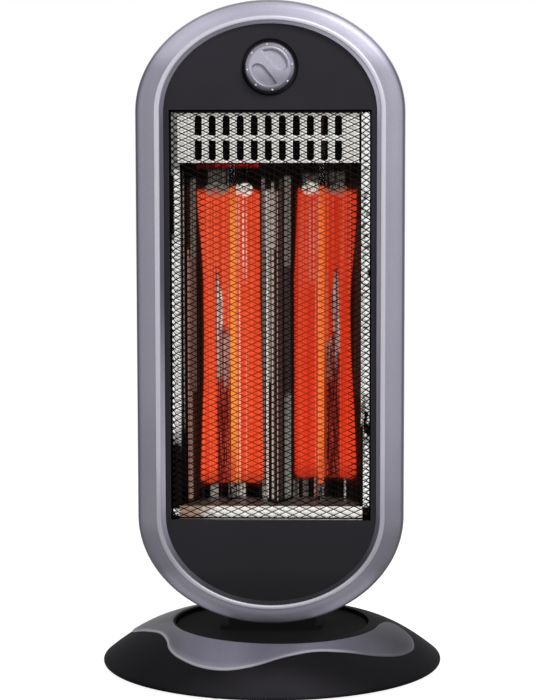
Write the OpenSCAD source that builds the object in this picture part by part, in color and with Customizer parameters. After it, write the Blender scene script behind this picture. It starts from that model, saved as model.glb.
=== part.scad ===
// Tower carbon heater on a turning base. Millimetres, +Z up, the heater faces -Y.
// The origin lies on the floor under the axis about which the body turns.

/* [Body] */
// Width of the body across its straight sides
body_w = 277; // [262:1:300]
// Height of the body
body_h = 647; // [630:1:700]
// Height of each arched end of the body
arch_h = 114; // [108:1:120]
// Gap between the body's lowest point and the plane of the base's rim
body_gap = 4.5; // [3.5:0.5:10]
// Distance from the turning axis forward to the front of the ring
front_reach = 46; // [44:1:52]
// Depth of the silver front ring
ring_depth = 26; // [25:1:30]
// Depth of the rear housing behind the ring
housing_depth = 72; // [70:1:90]
// Wall of the ring and of the rear housing
shell_wall = 2.4; // [2:0.1:3]
// Width of the ring, seen from the front at its top
ring_w = 23.8; // [22.5:0.1:25]
// Distance from the front of the ring back to the face of the panel
panel_recess = 9.5; // [8.5:0.5:11]
// Thickness of the front panel
panel_t = 2.5; // [2:0.1:3]

/* [Window and guard] */
// Width of the window
window_w = 208; // [200:1:212]
// Height of the window
window_h = 426; // [400:1:432]
// Height of the window's middle above the floor
window_z = 371.5; // [370:0.5:376]
// Length of the sleeve behind the window
sleeve_l = 8; // [7:0.5:9]
// How far the guard's two folds stand inside the window's sides
fold_inset = 8.2; // [7.5:0.1:12]
// How far the guard and the vent panel stand left of the middle
insert_left = 2; // [0:0.5:3]
// Width of one strand of the guard
strand_w = 1.6; // [1:0.1:2]
// Thickness of the guard sheet
guard_t = 0.8; // [0.5:0.1:1]
// Width of the flange round the sleeve, the guard and the chassis
flange_w = 10; // [9:0.5:11]

/* [Sheet metal inside] */
// Thickness of the chassis sheet
chassis_t = 1; // [0.8:0.1:1.2]
// Depth of the chassis
chassis_depth = 61; // [58:1:64]
// Thickness of the bright sheets
bright_t = 0.8; // [0.5:0.1:1]
// How far the slotted vent panel ends inside the window's sides
vent_inset = 10.6; // [10:0.1:14]
// Height of the slotted vent panel
vent_h = 51; // [48:1:56]
// Height of the lip panel at the bottom of the window
lip_h = 13.7; // [12:0.1:16]
// Number of slots in each row of the vent panel
slot_count = 11; // [6:1:12]
// Distance between two slots
slot_pitch = 14.4; // [12:0.1:15]
// Width of a slot
slot_w = 7.3; // [5:0.1:8]
// Height of a slot
slot_h = 20.6; // [16:0.1:21]
// Width of each side wing, seen from the front
wing_w = 9.8; // [8:0.1:10.5]

/* [Tubes and reflectors] */
// Width of the window that the two reflectors leave free beside them
trough_margin = 22; // [20:0.5:32]
// How far the two tubes stand right of the middle
tube_right = 5.6; // [0:0.1:6]
// Radius of a quartz tube
tube_r = 6; // [5:0.1:6.5]
// Wall of a quartz tube
tube_wall = 1.2; // [1:0.1:1.5]
// Radius of the carbon cord in a tube
carbon_r = 2.8; // [2:0.1:3]
// Length of the carbon cord, the part that glows
carbon_l = 330; // [280:1:335]
// Distance from a tube's axis back to its reflector
focus = 16; // [14:0.5:17]
// Width of each straight flank of a reflector
flank_w = 16.1; // [15:0.1:17]
// Steepness of a reflector's straight flanks
flank_slope = 2; // [1.6:0.1:2.1]

/* [Knob] */
// Radius of the control knob
knob_r = 25; // [22:0.5:26]
// Height of the knob's middle above the floor
knob_z = 627.8; // [624:0.2:632]
// How far the knob stands out of the panel
knob_out = 10.5; // [8:0.5:12]
// Radius of the well round the knob
well_r = 29; // [28:0.5:31]
// Depth of the well
well_depth = 5; // [4:0.5:6]
// Radius of the switch shaft
shaft_r = 3; // [2.5:0.1:3.2]

/* [Base] */
// Radius of the base
base_r = 178.5; // [174:0.5:190]
// Height of the base's top rim above the floor
base_top = 44.5; // [44:0.5:50]
// Radius of the round recess in the base
recess_r = 102.5; // [98:0.5:106]
// Wall of the base cover
cover_wall = 2.5; // [2:0.1:3]
// Thickness of the silver trim
trim_t = 1.5; // [1:0.1:2]
// How far the trim's round inner edge stands outside the recess, on average
trim_margin = 6.6; // [6:0.1:8]
// How far the middle of the trim's inner edge stands right of the turning axis
trim_right = 4.4; // [0:0.1:4.5]
// Depth from the base's rim down to the turntable
turntable_drop = 4.5; // [4:0.5:6]
// Thickness of the turntable
turntable_t = 3; // [2.5:0.5:4]
// Height of the rubber feet
foot_h = 2.6; // [2.4:0.1:3]
// Width of the neck
neck_w = 92; // [84:1:96]
// Depth of the neck
neck_d = 50; // [44:1:51]
// Outer radius of the turntable's hub
hub_r = 20; // [18:0.5:21]
// Thickness of the steel ballast ring
ballast_t = 6; // [4:0.5:8]

/* [Swing drive] */
// Tooth size of the gears, as pitch diameter divided by teeth
gear_module = 2; // [1.9:0.02:2.04]
// Teeth of the pinion
pinion_teeth = 12; // [12:1:14]
// Teeth of the full circle that the sector is cut from
sector_teeth = 40; // [39:1:42]
// Half of the sector's angle
sector_half = 50; // [48:1:56]
// Radius of the swing motor
motor_r = 24.5; // [22:0.5:25]

/* [Hidden] */
$fn = 64;

// clearances
running_gap = 0.05;
screw_gap = 0.15;
seat_gap = 0.2;
tab_gap = 0.3;

// body outline and depths
body_z = base_top + body_gap + body_h / 2;
half_straight = body_h / 2 - arch_h;
side_stretch = body_w / 2 / arch_h;
arch_steps = 36;
front_y = -front_reach;
ring_rear_y = front_y + ring_depth;
rear_y = ring_rear_y + housing_depth;
panel_y = front_y + panel_recess;
panel_rear_y = panel_y + panel_t;
panel_inset = shell_wall + tab_gap;

// stack behind the window
sleeve_t = 1.2;
sleeve_rear_y = panel_rear_y + sleeve_l;
hem_rear_y = sleeve_rear_y + guard_t;
flange_half_w = window_w / 2 + sleeve_t + flange_w;
flange_half_h = window_h / 2 + sleeve_t + flange_w;
guard_y = panel_y + 0.9;
guard_margin = 1.2;
fold_w = window_w - 2 * fold_inset;
chassis_half_w = window_w / 2 + 2;
chassis_half_h = window_h / 2 + 2;
chassis_rear_y = hem_rear_y + chassis_depth;
chassis_screw_x = window_w / 2 + sleeve_t + 4.8;
chassis_screw_rows = [-180, 0, 180];

// bright sheets
bright_y = guard_y + guard_t + 3.9;
window_top = window_z + window_h / 2;
window_bottom = window_z - window_h / 2;
vent_top = window_top - 3.5;
vent_w = window_w - 2 * vent_inset;
cavity_top = vent_top - vent_h;
cavity_bottom = window_bottom + lip_h;
shelf_rear_y = chassis_rear_y - chassis_t - seat_gap;
wing_outer = window_w / 2 - 0.5;
wing_inner = wing_outer - wing_w;
shelf_half = wing_inner - 1.5;
slot_row_gap = 5.4;

// tubes
vertex_y = chassis_rear_y - chassis_t - 4.8;
tube_y = vertex_y - focus;
tube_pitch = (window_w - trough_margin) / 2;
tube_x = [tube_right - tube_pitch / 2, tube_right + tube_pitch / 2];
trough_half = tube_pitch / 2 - 0.4;
curve_half = trough_half - flank_w;
flank_start_y = vertex_y - curve_half * curve_half / 4 / focus;
flank_end_y = flank_start_y - (trough_half - curve_half) * flank_slope;
cap_r = 8.5;
cap_h = 10;
cap_bore = 4;
bracket_t = 1.5;
bracket_reach = 14;
upper_tab = 12;
lower_tab = 9;
lower_cap_z = window_bottom + 2;
tube_bottom = lower_cap_z + cap_h - cap_bore;
upper_bracket_z = cavity_top + 22;
tube_top = upper_bracket_z - cap_h + cap_bore;
carbon_bottom = cavity_bottom + 2;

// switch and knob
well_floor_y = panel_y + well_depth;
well_floor_t = 2;
well_floor_rear = well_floor_y + well_floor_t;
switch_r = 16;
switch_depth = 18;
bush_r = 4.5;
knob_rear_y = well_floor_y - 1.8;
knob_front_y = panel_y - knob_out;

// screws that hold ring, panel and housing together
screw_inset = 13.5;
screw_r = 1.45;
screw_head_r = 3.1;
screw_well_r = 3.6;
arch_screw_angle = 50;
side_screw_z = 120;
screw_spots = concat(
    [for (side = [-1, 1], up = [-1, 1]) [side * side_x(screw_inset), up * side_screw_z]],
    [for (side = [-1, 1], up = [-1, 1])
        [side * side_x(screw_inset) * cos(arch_screw_angle),
         up * (half_straight + (arch_h - screw_inset) * sin(arch_screw_angle))]]
);

// rear housing
column_r = 5;
neck_floor_z = base_top + 25.5;
handle_w = 92;
handle_h = 30;
handle_depth = 20;
handle_z = max(body_z + half_straight + 46, window_z + chassis_half_h + handle_h / 2 + 3);
vent_slot_w = 62;
vent_slot_h = 4.6;
vent_slot_pitch = 10;
vent_columns = [-40, 40];
brace_x = body_w / 2 - 56.5;
brace_rows = [-115, 115];

// base
rim_round = 3;
rim_z = foot_h + 2.4;
dome_start = recess_r - 5.5;
dome_power = 1.8;
edge_angle = 40;
edge_r = base_r - rim_round + rim_round * cos(edge_angle);
edge_z = rim_z + rim_round * sin(edge_angle);
skirt_angle = 60;
skirt_r = base_r - 4;
cover_drop = cover_wall * 1.25;
turntable_top = base_top - turntable_drop;
turntable_z = turntable_top - turntable_t;
bearing_h = 2.8;
bearing_r = recess_r - 24.5;
floor_top = turntable_z - bearing_h - seat_gap;
floor_t = 3;
floor_z = floor_top - floor_t;
plate_t = 2.4;
plate_top = foot_h + plate_t;
plate_r = skirt_r - 1;
boss_ring_r = base_r - 28.5;
boss_count = 5;
boss_r = 5;
foot_r = 9;
foot_ring_r = base_r - 18.5;
peg_r = 3;
ballast_out = boss_ring_r - 12;
ballast_in = ballast_out * 0.725;

// turntable and neck
turntable_r = recess_r - 1.5;
bore_r = hub_r - 6;
neck_y = ring_rear_y + 3 + neck_d / 2;
neck_wall = 4;
neck_foot_h = 4;
neck_flange_t = 4;
neck_screw_x = neck_w / 2 + 3;
neck_screw_y = neck_d / 2;
housing_post_x = neck_w / 2 + 14;
housing_post_y = 12;

// swing drive
washer_t = 2;
sector_t = 4.8;
sector_top = floor_z - seat_gap - washer_t;
sector_z = sector_top - sector_t;
nut_t = 4.5;
hub_bottom = sector_z - nut_t - 1;
gear_distance = gear_module * (sector_teeth + pinion_teeth) / 2;
motor_top = sector_z - 4;
motor_bottom = plate_top + 1.5;
motor_shaft_r = 3;
ear_t = 1.5;
ear_x = motor_r + 6;
backlash = 0.3;

// tip-over switch
tip_x = -66;
tip_y = -24;
tip_r = 4;
tip_travel = 5;
guide_top = plate_top + 3;
collar_r = 6;
collar_z = guide_top + tip_travel + 0.3;
collar_t = 1.4;
spring_top = collar_z + collar_t + 6.4;
tip_box_top = floor_z - 1;

// gland and terminal block
gland_z = plate_top + 8;
gland_r = 4.5;
gland_inner_y = base_r - 28.5;
terminal_half = 18;
terminal_d = 16;
terminal_h = 14;
terminal_hole_pitch = 11;
terminal_x = ballast_in - 16 - terminal_half;
terminal_y = -26;

// colours
black_satin = [0.13, 0.13, 0.14];
silver_paint = [0.62, 0.61, 0.66];
bright_metal = [0.90, 0.89, 0.86];
plain_steel = [0.70, 0.71, 0.72];

// Half width of the body's outline at a given inset
function side_x(inset) = side_stretch * (arch_h - inset);

// The body's outline at a given inset, seen from the front, about its own middle
function body_outline(inset) = concat(
    [for (i = [0:arch_steps]) let (a = 180 * i / arch_steps)
        [side_x(inset) * cos(a), half_straight + (arch_h - inset) * sin(a)]],
    [for (i = [0:arch_steps]) let (a = 180 + 180 * i / arch_steps)
        [side_x(inset) * cos(a), -half_straight + (arch_h - inset) * sin(a)]]
);

// Height of the dome's outer surface at a given radius
function dome_z(r) = base_top
    - (base_top - edge_z) * pow(max(0, (r - dome_start) / (edge_r - dome_start)), dome_power);

// Smooth curve through a list of points
function blend_point(a, b, c, d, t) = 0.5 * (2 * b + (c - a) * t
    + (2 * a - 5 * b + 4 * c - d) * t * t + (3 * b - a - 3 * c + d) * t * t * t);
function open_curve(p, steps) = concat(
    [for (i = [0:len(p) - 2], j = [0:steps - 1])
        blend_point(p[max(i - 1, 0)], p[i], p[i + 1], p[min(i + 2, len(p) - 1)], j / steps)],
    [p[len(p) - 1]]
);
function closed_curve(p, steps) = [for (i = [0:len(p) - 1], j = [0:steps - 1])
    let (n = len(p))
    blend_point(p[(i + n - 1) % n], p[i], p[(i + 1) % n], p[(i + 2) % n], j / steps)];

// Faces between neighbouring rows of points
function row_faces(rows, n, around) = [for (i = [0:rows - (around ? 1 : 2)], j = [0:n - 1])
    let (k = (i + 1) % rows)
    [i * n + j, k * n + j, k * n + (j + 1) % n, i * n + (j + 1) % n]];

// Solid swept round the body: sections are [inset, depth] pairs
module body_sweep(sections, around) {
    rows = [for (s = sections) [for (p = body_outline(s[0])) [p[0], s[1], body_z + p[1]]]];
    n = len(rows[0]);
    points = [for (row = rows) each row];
    caps = around ? [] : [
        [for (j = [0:n - 1]) j],
        [for (j = [n - 1:-1:0]) (len(rows) - 1) * n + j]
    ];
    polyhedron(points, concat(row_faces(len(rows), n, around), caps));
}

// Wire along a curve: the side vector must never lie along the wire
module wire(path, r, side) {
    sides = 6;
    last = len(path) - 1;
    points = [for (i = [0:last])
        let (
            step = path[min(i + 1, last)] - path[max(i - 1, 0)],
            t = step / norm(step),
            u = cross(t, side) / norm(cross(t, side)),
            v = cross(t, u)
        )
        for (k = [0:sides - 1]) path[i] + r * (cos(360 * k / sides) * u + sin(360 * k / sides) * v)];
    polyhedron(points, concat(
        row_faces(last + 1, sides, false),
        [[for (j = [0:sides - 1]) j], [for (j = [sides - 1:-1:0]) last * sides + j]]
    ));
}

// Outline drawn as seen from the front, given a depth from y_from to y_to
module plate(y_from, y_to) {
    translate([0, y_to, 0])
        rotate([90, 0, 0])
            linear_extrude(y_to - y_from)
                children();
}

// Round rod along Y
module rod_y(x, z, r, y_from, y_to) {
    translate([x, y_from, z])
        rotate([-90, 0, 0])
            cylinder(r = r, h = y_to - y_from);
}

// Round rod along Z
module rod_z(x, y, r, z_from, z_to) {
    translate([x, y, z_from])
        cylinder(r = r, h = z_to - z_from);
}

// Ring about the turning axis
module ring_z(r_in, r_out, z_from, z_to) {
    difference() {
        rod_z(0, 0, r_out, z_from, z_to);
        rod_z(0, 0, r_in, z_from - 1, z_to + 1);
    }
}

// Rectangle frame seen from the front
module frame_outline(in_w, in_h, out_w, out_h) {
    translate([0, window_z])
        difference() {
            square([2 * out_w, 2 * out_h], center = true);
            square([2 * in_w, 2 * in_h], center = true);
        }
}

// Slot with round ends along X
module round_slot(w, h) {
    square([w - h, h], center = true);
    for (side = [-1, 1])
        translate([side * (w - h) / 2, 0])
            circle(h / 2, $fn = 24);
}

// Base cover: dome, round recess with its floor, and screw bosses
module base_cover() {
    skirt = [for (i = [0:5]) let (a = edge_angle - (edge_angle + skirt_angle) * i / 5)
        [base_r - rim_round + rim_round * cos(a), rim_z + rim_round * sin(a)]];
    dome = [for (i = [0:16]) let (r = recess_r + 1 + (edge_r - recess_r - 1) * i / 16) [r, dome_z(r)]];
    wall_r = recess_r + cover_wall + 0.5;
    skirt_z = skirt[5][1];
    outside = concat(
        [[hub_r + running_gap, floor_z], [hub_r + running_gap, floor_top], [recess_r, floor_top],
         [recess_r, base_top - 1]],
        dome, skirt, [[skirt_r, skirt_z], [wall_r, skirt_z], [wall_r, floor_z]]
    );
    inside = concat(
        [for (i = [0:12]) let (r = wall_r + (skirt_r - wall_r) * i / 12) [r, dome_z(r) - cover_drop]],
        [[skirt_r, skirt_z - 1], [wall_r, skirt_z - 1]]
    );
    color(black_satin)
    difference() {
        rotate_extrude($fn = 128)
            polygon(outside);
        difference() {
            rotate_extrude($fn = 128)
                polygon(inside);
            for (i = [0:boss_count - 1])
                rotate(360 * i / boss_count)
                    rod_z(boss_ring_r, 0, boss_r, plate_top, base_top);
        }
        for (i = [0:boss_count - 1])
            rotate(360 * i / boss_count)
                rod_z(boss_ring_r, 0, screw_r + screw_gap, plate_top - 1, plate_top + 12);
        rod_y(0, gland_z, gland_r + seat_gap, gland_inner_y + 4, base_r + 2);
    }
}

// The trim's wavy outline, seen from above; its last points lie inside the recess
trim_wave = [
    [92, -58], [103, -36], [113, -12], [121, 8], [130, 13], [139, 5], [148, -12], [150, -34],
    [146, -54], [132, -79], [108, -98], [78, -109], [48, -118], [20, -131], [-12, -145],
    [-42, -147], [-70, -135], [-92, -113], [-103, -92], [-107, -72], [-116, -46], [-132, -21],
    [-149, 12], [-151, 50], [-136, 88], [-106, 121], [-66, 141], [-20, 142], [20, 125], [50, 97],
    [62, 60], [60, 0]
];

// Silver trim that lies on the dome
module base_trim() {
    lift = 0.1;
    shell_in = recess_r + 1.3;
    shell_out = base_r - 18;
    radii = [for (i = [0:12]) shell_in + (shell_out - shell_in) * i / 12];
    shell = concat(
        [for (r = radii) [r, dome_z(r) + lift]],
        [for (i = [12:-1:0]) [radii[i], dome_z(radii[i]) + lift + trim_t]]
    );
    color(silver_paint)
    difference() {
        intersection() {
            rotate_extrude($fn = 128)
                polygon(shell);
            linear_extrude(base_top + 10)
                polygon(closed_curve(trim_wave, 4));
        }
        rod_z(trim_right, 0, recess_r + trim_margin, base_top / 2, base_top + 10, $fn = 128);
    }
}

// Plate that closes the base from below, with posts for the motor and a guide for the plunger
module base_plate() {
    color(black_satin)
    difference() {
        union() {
            rod_z(0, 0, plate_r, foot_h, plate_top);
            for (side = [-1, 1])
                rod_z(side * ear_x, gear_distance, 4, plate_top - 0.5, motor_top - ear_t);
            rod_z(tip_x, tip_y, tip_r + 2.2, plate_top - 0.5, guide_top);
        }
        for (side = [-1, 1])
            rod_z(side * ear_x, gear_distance, screw_r + screw_gap, plate_top + 2, motor_top);
        rod_z(tip_x, tip_y, tip_r + running_gap, 0, guide_top + 1);
        for (i = [0:boss_count - 1]) {
            rotate(360 * i / boss_count)
                rod_z(boss_ring_r, 0, screw_r + screw_gap, 0, plate_top + 1);
            rotate(360 * (i + 0.5) / boss_count)
                rod_z(foot_ring_r, 0, peg_r + seat_gap, 0, plate_top + 1);
        }
    }
}

// Steel ring that weighs the base down
module ballast_ring() {
    color(plain_steel)
        ring_z(ballast_in, ballast_out, plate_top, plate_top + ballast_t);
}

// Rubber feet with their pegs
module rubber_feet() {
    color([0.08, 0.08, 0.08])
        for (i = [0:boss_count - 1])
            rotate(360 * (i + 0.5) / boss_count) {
                rod_z(foot_ring_r, 0, foot_r, 0, foot_h);
                rod_z(foot_ring_r, 0, peg_r, foot_h - 0.5, plate_top + 2.5);
            }
}

// Low-friction ring under the turntable
module bearing_ring() {
    color([0.92, 0.92, 0.88])
        ring_z(bearing_r - 12, bearing_r, floor_top, floor_top + bearing_h);
}

// Slow gear motor under the recess floor
module swing_motor() {
    color(plain_steel)
    translate([0, gear_distance, 0])
    difference() {
        union() {
            rod_z(0, 0, motor_r, motor_bottom, motor_top);
            for (side = [-1, 1])
                translate([side * ear_x / 2, 0, motor_top - ear_t / 2])
                    cube([ear_x, 12, ear_t], center = true);
            for (side = [-1, 1])
                rod_z(side * ear_x, 0, 6, motor_top - ear_t, motor_top);
        }
        rod_z(0, 0, motor_shaft_r + running_gap, motor_bottom + 4, motor_top + 1);
        for (side = [-1, 1])
            rod_z(side * ear_x, 0, screw_r + screw_gap, motor_top - ear_t - 1, motor_top + 1);
    }
}

// Screws of the motor's ears
module motor_screws() {
    color("silver")
        for (side = [-1, 1]) {
            rod_z(side * ear_x, gear_distance, screw_r, plate_top + 4, motor_top);
            rod_z(side * ear_x, gear_distance, 2.8, motor_top, motor_top + 1.6);
        }
}

// Switch above the plunger, on two legs
module tip_switch() {
    color([0.75, 0.74, 0.70])
    translate([tip_x, tip_y, 0]) {
        for (side = [-1, 1])
            translate([side * 9.5 - 1.5, -5, plate_top])
                cube([3, 10, spring_top - plate_top + 1]);
        translate([-11, -7, spring_top])
            cube([22, 14, tip_box_top - spring_top]);
    }
}

// Cord gland in the rear of the base
module cord_gland() {
    color(black_satin)
    difference() {
        union() {
            rod_y(0, gland_z, gland_r, gland_inner_y + 2, base_r - 2.5);
            rod_y(0, gland_z, gland_r + 2, gland_inner_y, gland_inner_y + 3);
        }
        rod_y(0, gland_z, gland_r - 1.3, gland_inner_y - 1, base_r);
    }
}

// Terminal block on the base plate
module terminal_block() {
    color([0.90, 0.90, 0.86])
    difference() {
        translate([terminal_x - terminal_half, terminal_y - terminal_d / 2, plate_top])
            cube([2 * terminal_half, terminal_d, terminal_h]);
        for (i = [-1:1])
            rod_z(terminal_x + terminal_hole_pitch * i, terminal_y, 2.6, plate_top + 8,
                plate_top + terminal_h + 1);
    }
}

// Wires from the gland to the terminal block and on to the hub
module base_wiring() {
    wire_r = 1.3;
    low = plate_top + ballast_t + wire_r + tab_gap;
    near = plate_top + wire_r + tab_gap;
    color([0.45, 0.25, 0.15])
    for (side = [-1, 1]) {
        wire(open_curve([
            [1.6 * side, gland_inner_y - 0.3, gland_z],
            [2.2 * side, gland_inner_y - 5 + 1.5 * side, gland_z],
            [8 + 1.5 * side, gland_inner_y - 13 + 3 * side, low + 0.4],
            [40 + 1.5 * side, gland_inner_y - 22 + 2 * side, low + 0.4],
            [84 + 1.5 * side, gland_inner_y - 58 + 2 * side, low],
            [98 + 2 * side, gland_inner_y - 100, low],
            [104 + 3 * side, 8, low], [99 + 3 * side, terminal_y + 8 - 4 * side, low],
            [terminal_x + terminal_half + 8, terminal_y - 3.5 * side, low],
            [terminal_x + terminal_half + 0.4, terminal_y - 3.5 * side, low]
        ], 6), wire_r, [0, 0, 1]);
        wire(open_curve([
            [terminal_x - terminal_half - 0.4, terminal_y + 3.5 * side, near + 4],
            [terminal_x - 28, terminal_y + 3.5 * side, near + 3], [terminal_x / 3, -20 + 4 * side, near],
            [8, -10 + 4 * side, near], [-1, -4 + 3.5 * side, near]
        ], 6), wire_r, [0, 0, 1]);
    }
}

// Screws of the base plate
module base_screws() {
    color("silver")
        for (i = [0:boss_count - 1])
            rotate(360 * i / boss_count) {
                rod_z(boss_ring_r, 0, screw_r, foot_h, plate_top + 10);
                rod_z(boss_ring_r, 0, screw_head_r, foot_h - 1.7, foot_h);
            }
}

// Plunger that the floor presses in
module tip_plunger() {
    color([0.85, 0.30, 0.15])
    translate([tip_x, tip_y, 0]) {
        rod_z(0, 0, tip_r, 0, collar_z + 0.5);
        rod_z(0, 0, collar_r, collar_z, collar_z + collar_t);
        rod_z(0, 0, 2.2, collar_z, spring_top - 0.4);
    }
}

// Spring round the plunger's upper stem, as a sleeve of its own size
module tip_spring() {
    color("silver")
    translate([tip_x, tip_y, 0])
    difference() {
        rod_z(0, 0, 4.4, collar_z + collar_t, spring_top);
        rod_z(0, 0, 3.2, collar_z, spring_top + 1);
    }
}

// Shaft of the swing motor
module motor_shaft() {
    color("silver")
        rod_z(0, gear_distance, motor_shaft_r, motor_bottom + 4.5, sector_top + 1);
}

// Angle between a tooth's middle and its flank at radius r, for a 20 degree tooth
function roll_angle(a) = tan(a) * 180 / PI - a;
function flank_angle(teeth, r) = let (
        pitch_r = gear_module * teeth / 2,
        base = pitch_r * cos(20),
        thin = backlash / 4 / pitch_r * 180 / PI
    ) 90 / teeth - thin + roll_angle(20) - roll_angle(acos(min(1, base / max(base, r))));

// One tooth's outline about its middle line, from root to tip and back
function tooth(teeth, middle) = let (
        pitch_r = gear_module * teeth / 2,
        root = pitch_r - 1.05 * gear_module,
        tip = pitch_r + 0.8 * gear_module,
        steps = 4
    ) concat(
        [for (i = [0:steps]) let (r = root + (tip - root) * i / steps, a = middle - flank_angle(teeth, r))
            [r * cos(a), r * sin(a)]],
        [for (i = [steps:-1:0]) let (r = root + (tip - root) * i / steps, a = middle + flank_angle(teeth, r))
            [r * cos(a), r * sin(a)]]
    );

// Pinion on the motor's shaft
module drive_pinion() {
    color([0.93, 0.92, 0.86])
    translate([0, gear_distance, 0])
    difference() {
        translate([0, 0, sector_z])
            linear_extrude(sector_t)
                polygon([for (i = [0:pinion_teeth - 1])
                    each tooth(pinion_teeth, -90 + 360 * (i + 0.5) / pinion_teeth)]);
        rod_z(0, 0, motor_shaft_r + running_gap, sector_z - 1, sector_top + 1);
    }
}

// Disc in the recess, with its hub
module turntable() {
    color([0.09, 0.09, 0.10])
    difference() {
        union() {
            rod_z(0, 0, turntable_r, turntable_z, turntable_top);
            rod_z(0, 0, hub_r, hub_bottom, turntable_z + 1);
        }
        rod_z(0, 0, bore_r, hub_bottom - 1, turntable_top + 1);
        for (side = [-1, 1], end = [-1, 1])
            rod_z(side * neck_screw_x, neck_y + end * neck_screw_y, screw_r + screw_gap,
                turntable_z - 1, turntable_top + 1);
    }
}

// Washer that keeps the hub in the base
module thrust_washer() {
    color("silver")
        ring_z(hub_r + 0.1, hub_r + 8, sector_top, sector_top + washer_t);
}

// Toothed sector on the hub
module gear_sector() {
    step = 360 / sector_teeth;
    reach = floor(sector_half / step);
    color([0.93, 0.92, 0.86])
    difference() {
        translate([0, 0, sector_z])
            linear_extrude(sector_t)
                union() {
                    polygon(concat([[0, 0]],
                        [for (i = [-reach:reach]) each tooth(sector_teeth, 90 + step * i)]));
                    circle(hub_r + 8);
                }
        rod_z(0, 0, hub_r + 0.1, sector_z - 1, sector_top + 1);
    }
}

// Nut under the sector
module hub_nut() {
    color("silver")
    difference() {
        translate([0, 0, sector_z - nut_t])
            cylinder(r = hub_r + 5, h = nut_t, $fn = 6);
        rod_z(0, 0, hub_r + 0.1, sector_z - nut_t - 1, sector_z + 1);
    }
}

// Rectangle with round corners, seen from above, for the neck
module neck_outline(grow) {
    corner = 8;
    w = neck_w / 2 + grow;
    d = neck_d / 2 + grow;
    translate([0, neck_y]) {
        square([2 * w, 2 * (d - corner)], center = true);
        square([2 * (w - corner), 2 * d], center = true);
        for (side = [-1, 1], end = [-1, 1])
            translate([side * (w - corner), end * (d - corner)])
                circle(corner, $fn = 32);
    }
}

// Hollow neck between turntable and body
module neck() {
    flange_top = neck_floor_z + neck_flange_t;
    flange_w2 = housing_post_x + 6;
    flange_d2 = housing_post_y + 6;
    color(black_satin)
    difference() {
        union() {
            translate([0, 0, turntable_top])
                linear_extrude(neck_foot_h)
                    neck_outline(8);
            translate([0, 0, turntable_top])
                linear_extrude(flange_top - turntable_top)
                    neck_outline(0);
            translate([-flange_w2, neck_y - flange_d2, neck_floor_z])
                cube([2 * flange_w2, 2 * flange_d2, neck_flange_t]);
        }
        translate([0, 0, turntable_top - 1])
            linear_extrude(flange_top - turntable_top + 2)
                neck_outline(-neck_wall);
        for (side = [-1, 1], end = [-1, 1]) {
            rod_z(side * neck_screw_x, neck_y + end * neck_screw_y, screw_r + screw_gap,
                turntable_top - 1, turntable_top + neck_foot_h + 1);
            rod_z(side * housing_post_x, neck_y + end * housing_post_y, screw_r + screw_gap,
                neck_floor_z - 1, flange_top + 1);
        }
    }
}

// Screws of the neck, into the turntable and into the housing
module neck_screws() {
    flange_top = neck_floor_z + neck_flange_t;
    color("silver")
        for (side = [-1, 1], end = [-1, 1]) {
            rod_z(side * neck_screw_x, neck_y + end * neck_screw_y, screw_r,
                turntable_z, turntable_top + neck_foot_h - 0.5);
            rod_z(side * neck_screw_x, neck_y + end * neck_screw_y, 2.8,
                turntable_z - 1.4, turntable_z);
            rod_z(side * housing_post_x, neck_y + end * housing_post_y, screw_r,
                neck_floor_z - 8, flange_top);
            rod_z(side * housing_post_x, neck_y + end * housing_post_y, 2.8,
                flange_top, flange_top + 1.6);
        }
}

// Rear housing: a tub with air slots, screw wells, a neck socket and a handle opening
module rear_housing() {
    w = shell_wall;
    outer = [[24, rear_y], [17, rear_y - 2.4], [10.5, rear_y - 7.5], [5, rear_y - 16],
        [1.5, rear_y - 28], [0, rear_y - 44], [0, ring_rear_y]];
    inner = [[w + 22.1, rear_y - w], [w + 15.6, rear_y - w - 2.6], [w + 9.8, rear_y - 10],
        [w + 4.6, rear_y - 18], [w + 1.4, rear_y - 29], [w, rear_y - 44], [w, ring_rear_y - 1]];
    color(black_satin)
    difference() {
        body_sweep(outer, false);
        difference() {
            body_sweep(inner, false);
            for (s = screw_spots)
                rod_y(s[0], body_z + s[1], column_r, panel_rear_y + 14 + seat_gap, rear_y);
            for (side = [-1, 1], row = brace_rows)
                rod_y(side * brace_x, window_z + row, column_r, chassis_rear_y + seat_gap, rear_y);
            linear_extrude(neck_floor_z)
                neck_outline(4 + seat_gap);
            for (side = [-1, 1], end = [-1, 1])
                rod_z(side * housing_post_x, neck_y + end * housing_post_y, column_r, 0, neck_floor_z);
        }
        linear_extrude(neck_floor_z + 1)
            neck_outline(seat_gap);
        for (side = [-1, 1], end = [-1, 1])
            rod_z(side * housing_post_x, neck_y + end * housing_post_y, screw_r + screw_gap,
                neck_floor_z - 9, neck_floor_z + 1);
        for (s = screw_spots) {
            rod_y(s[0], body_z + s[1], screw_well_r, panel_rear_y + 18, rear_y + 1);
            rod_y(s[0], body_z + s[1], screw_r + screw_gap, ring_rear_y - 2, rear_y);
        }
        plate(rear_y - 2 * w, rear_y + 1) {
            translate([0, handle_z])
                square([handle_w, handle_h], center = true);
            for (x = vent_columns) {
                for (i = [0:13])
                    translate([x, window_z + 70 + vent_slot_pitch * i])
                        round_slot(vent_slot_w, vent_slot_h);
                for (i = [0:9])
                    translate([x, window_z - 175 + vent_slot_pitch * i])
                        round_slot(vent_slot_w, vent_slot_h);
            }
        }
    }
}

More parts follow.
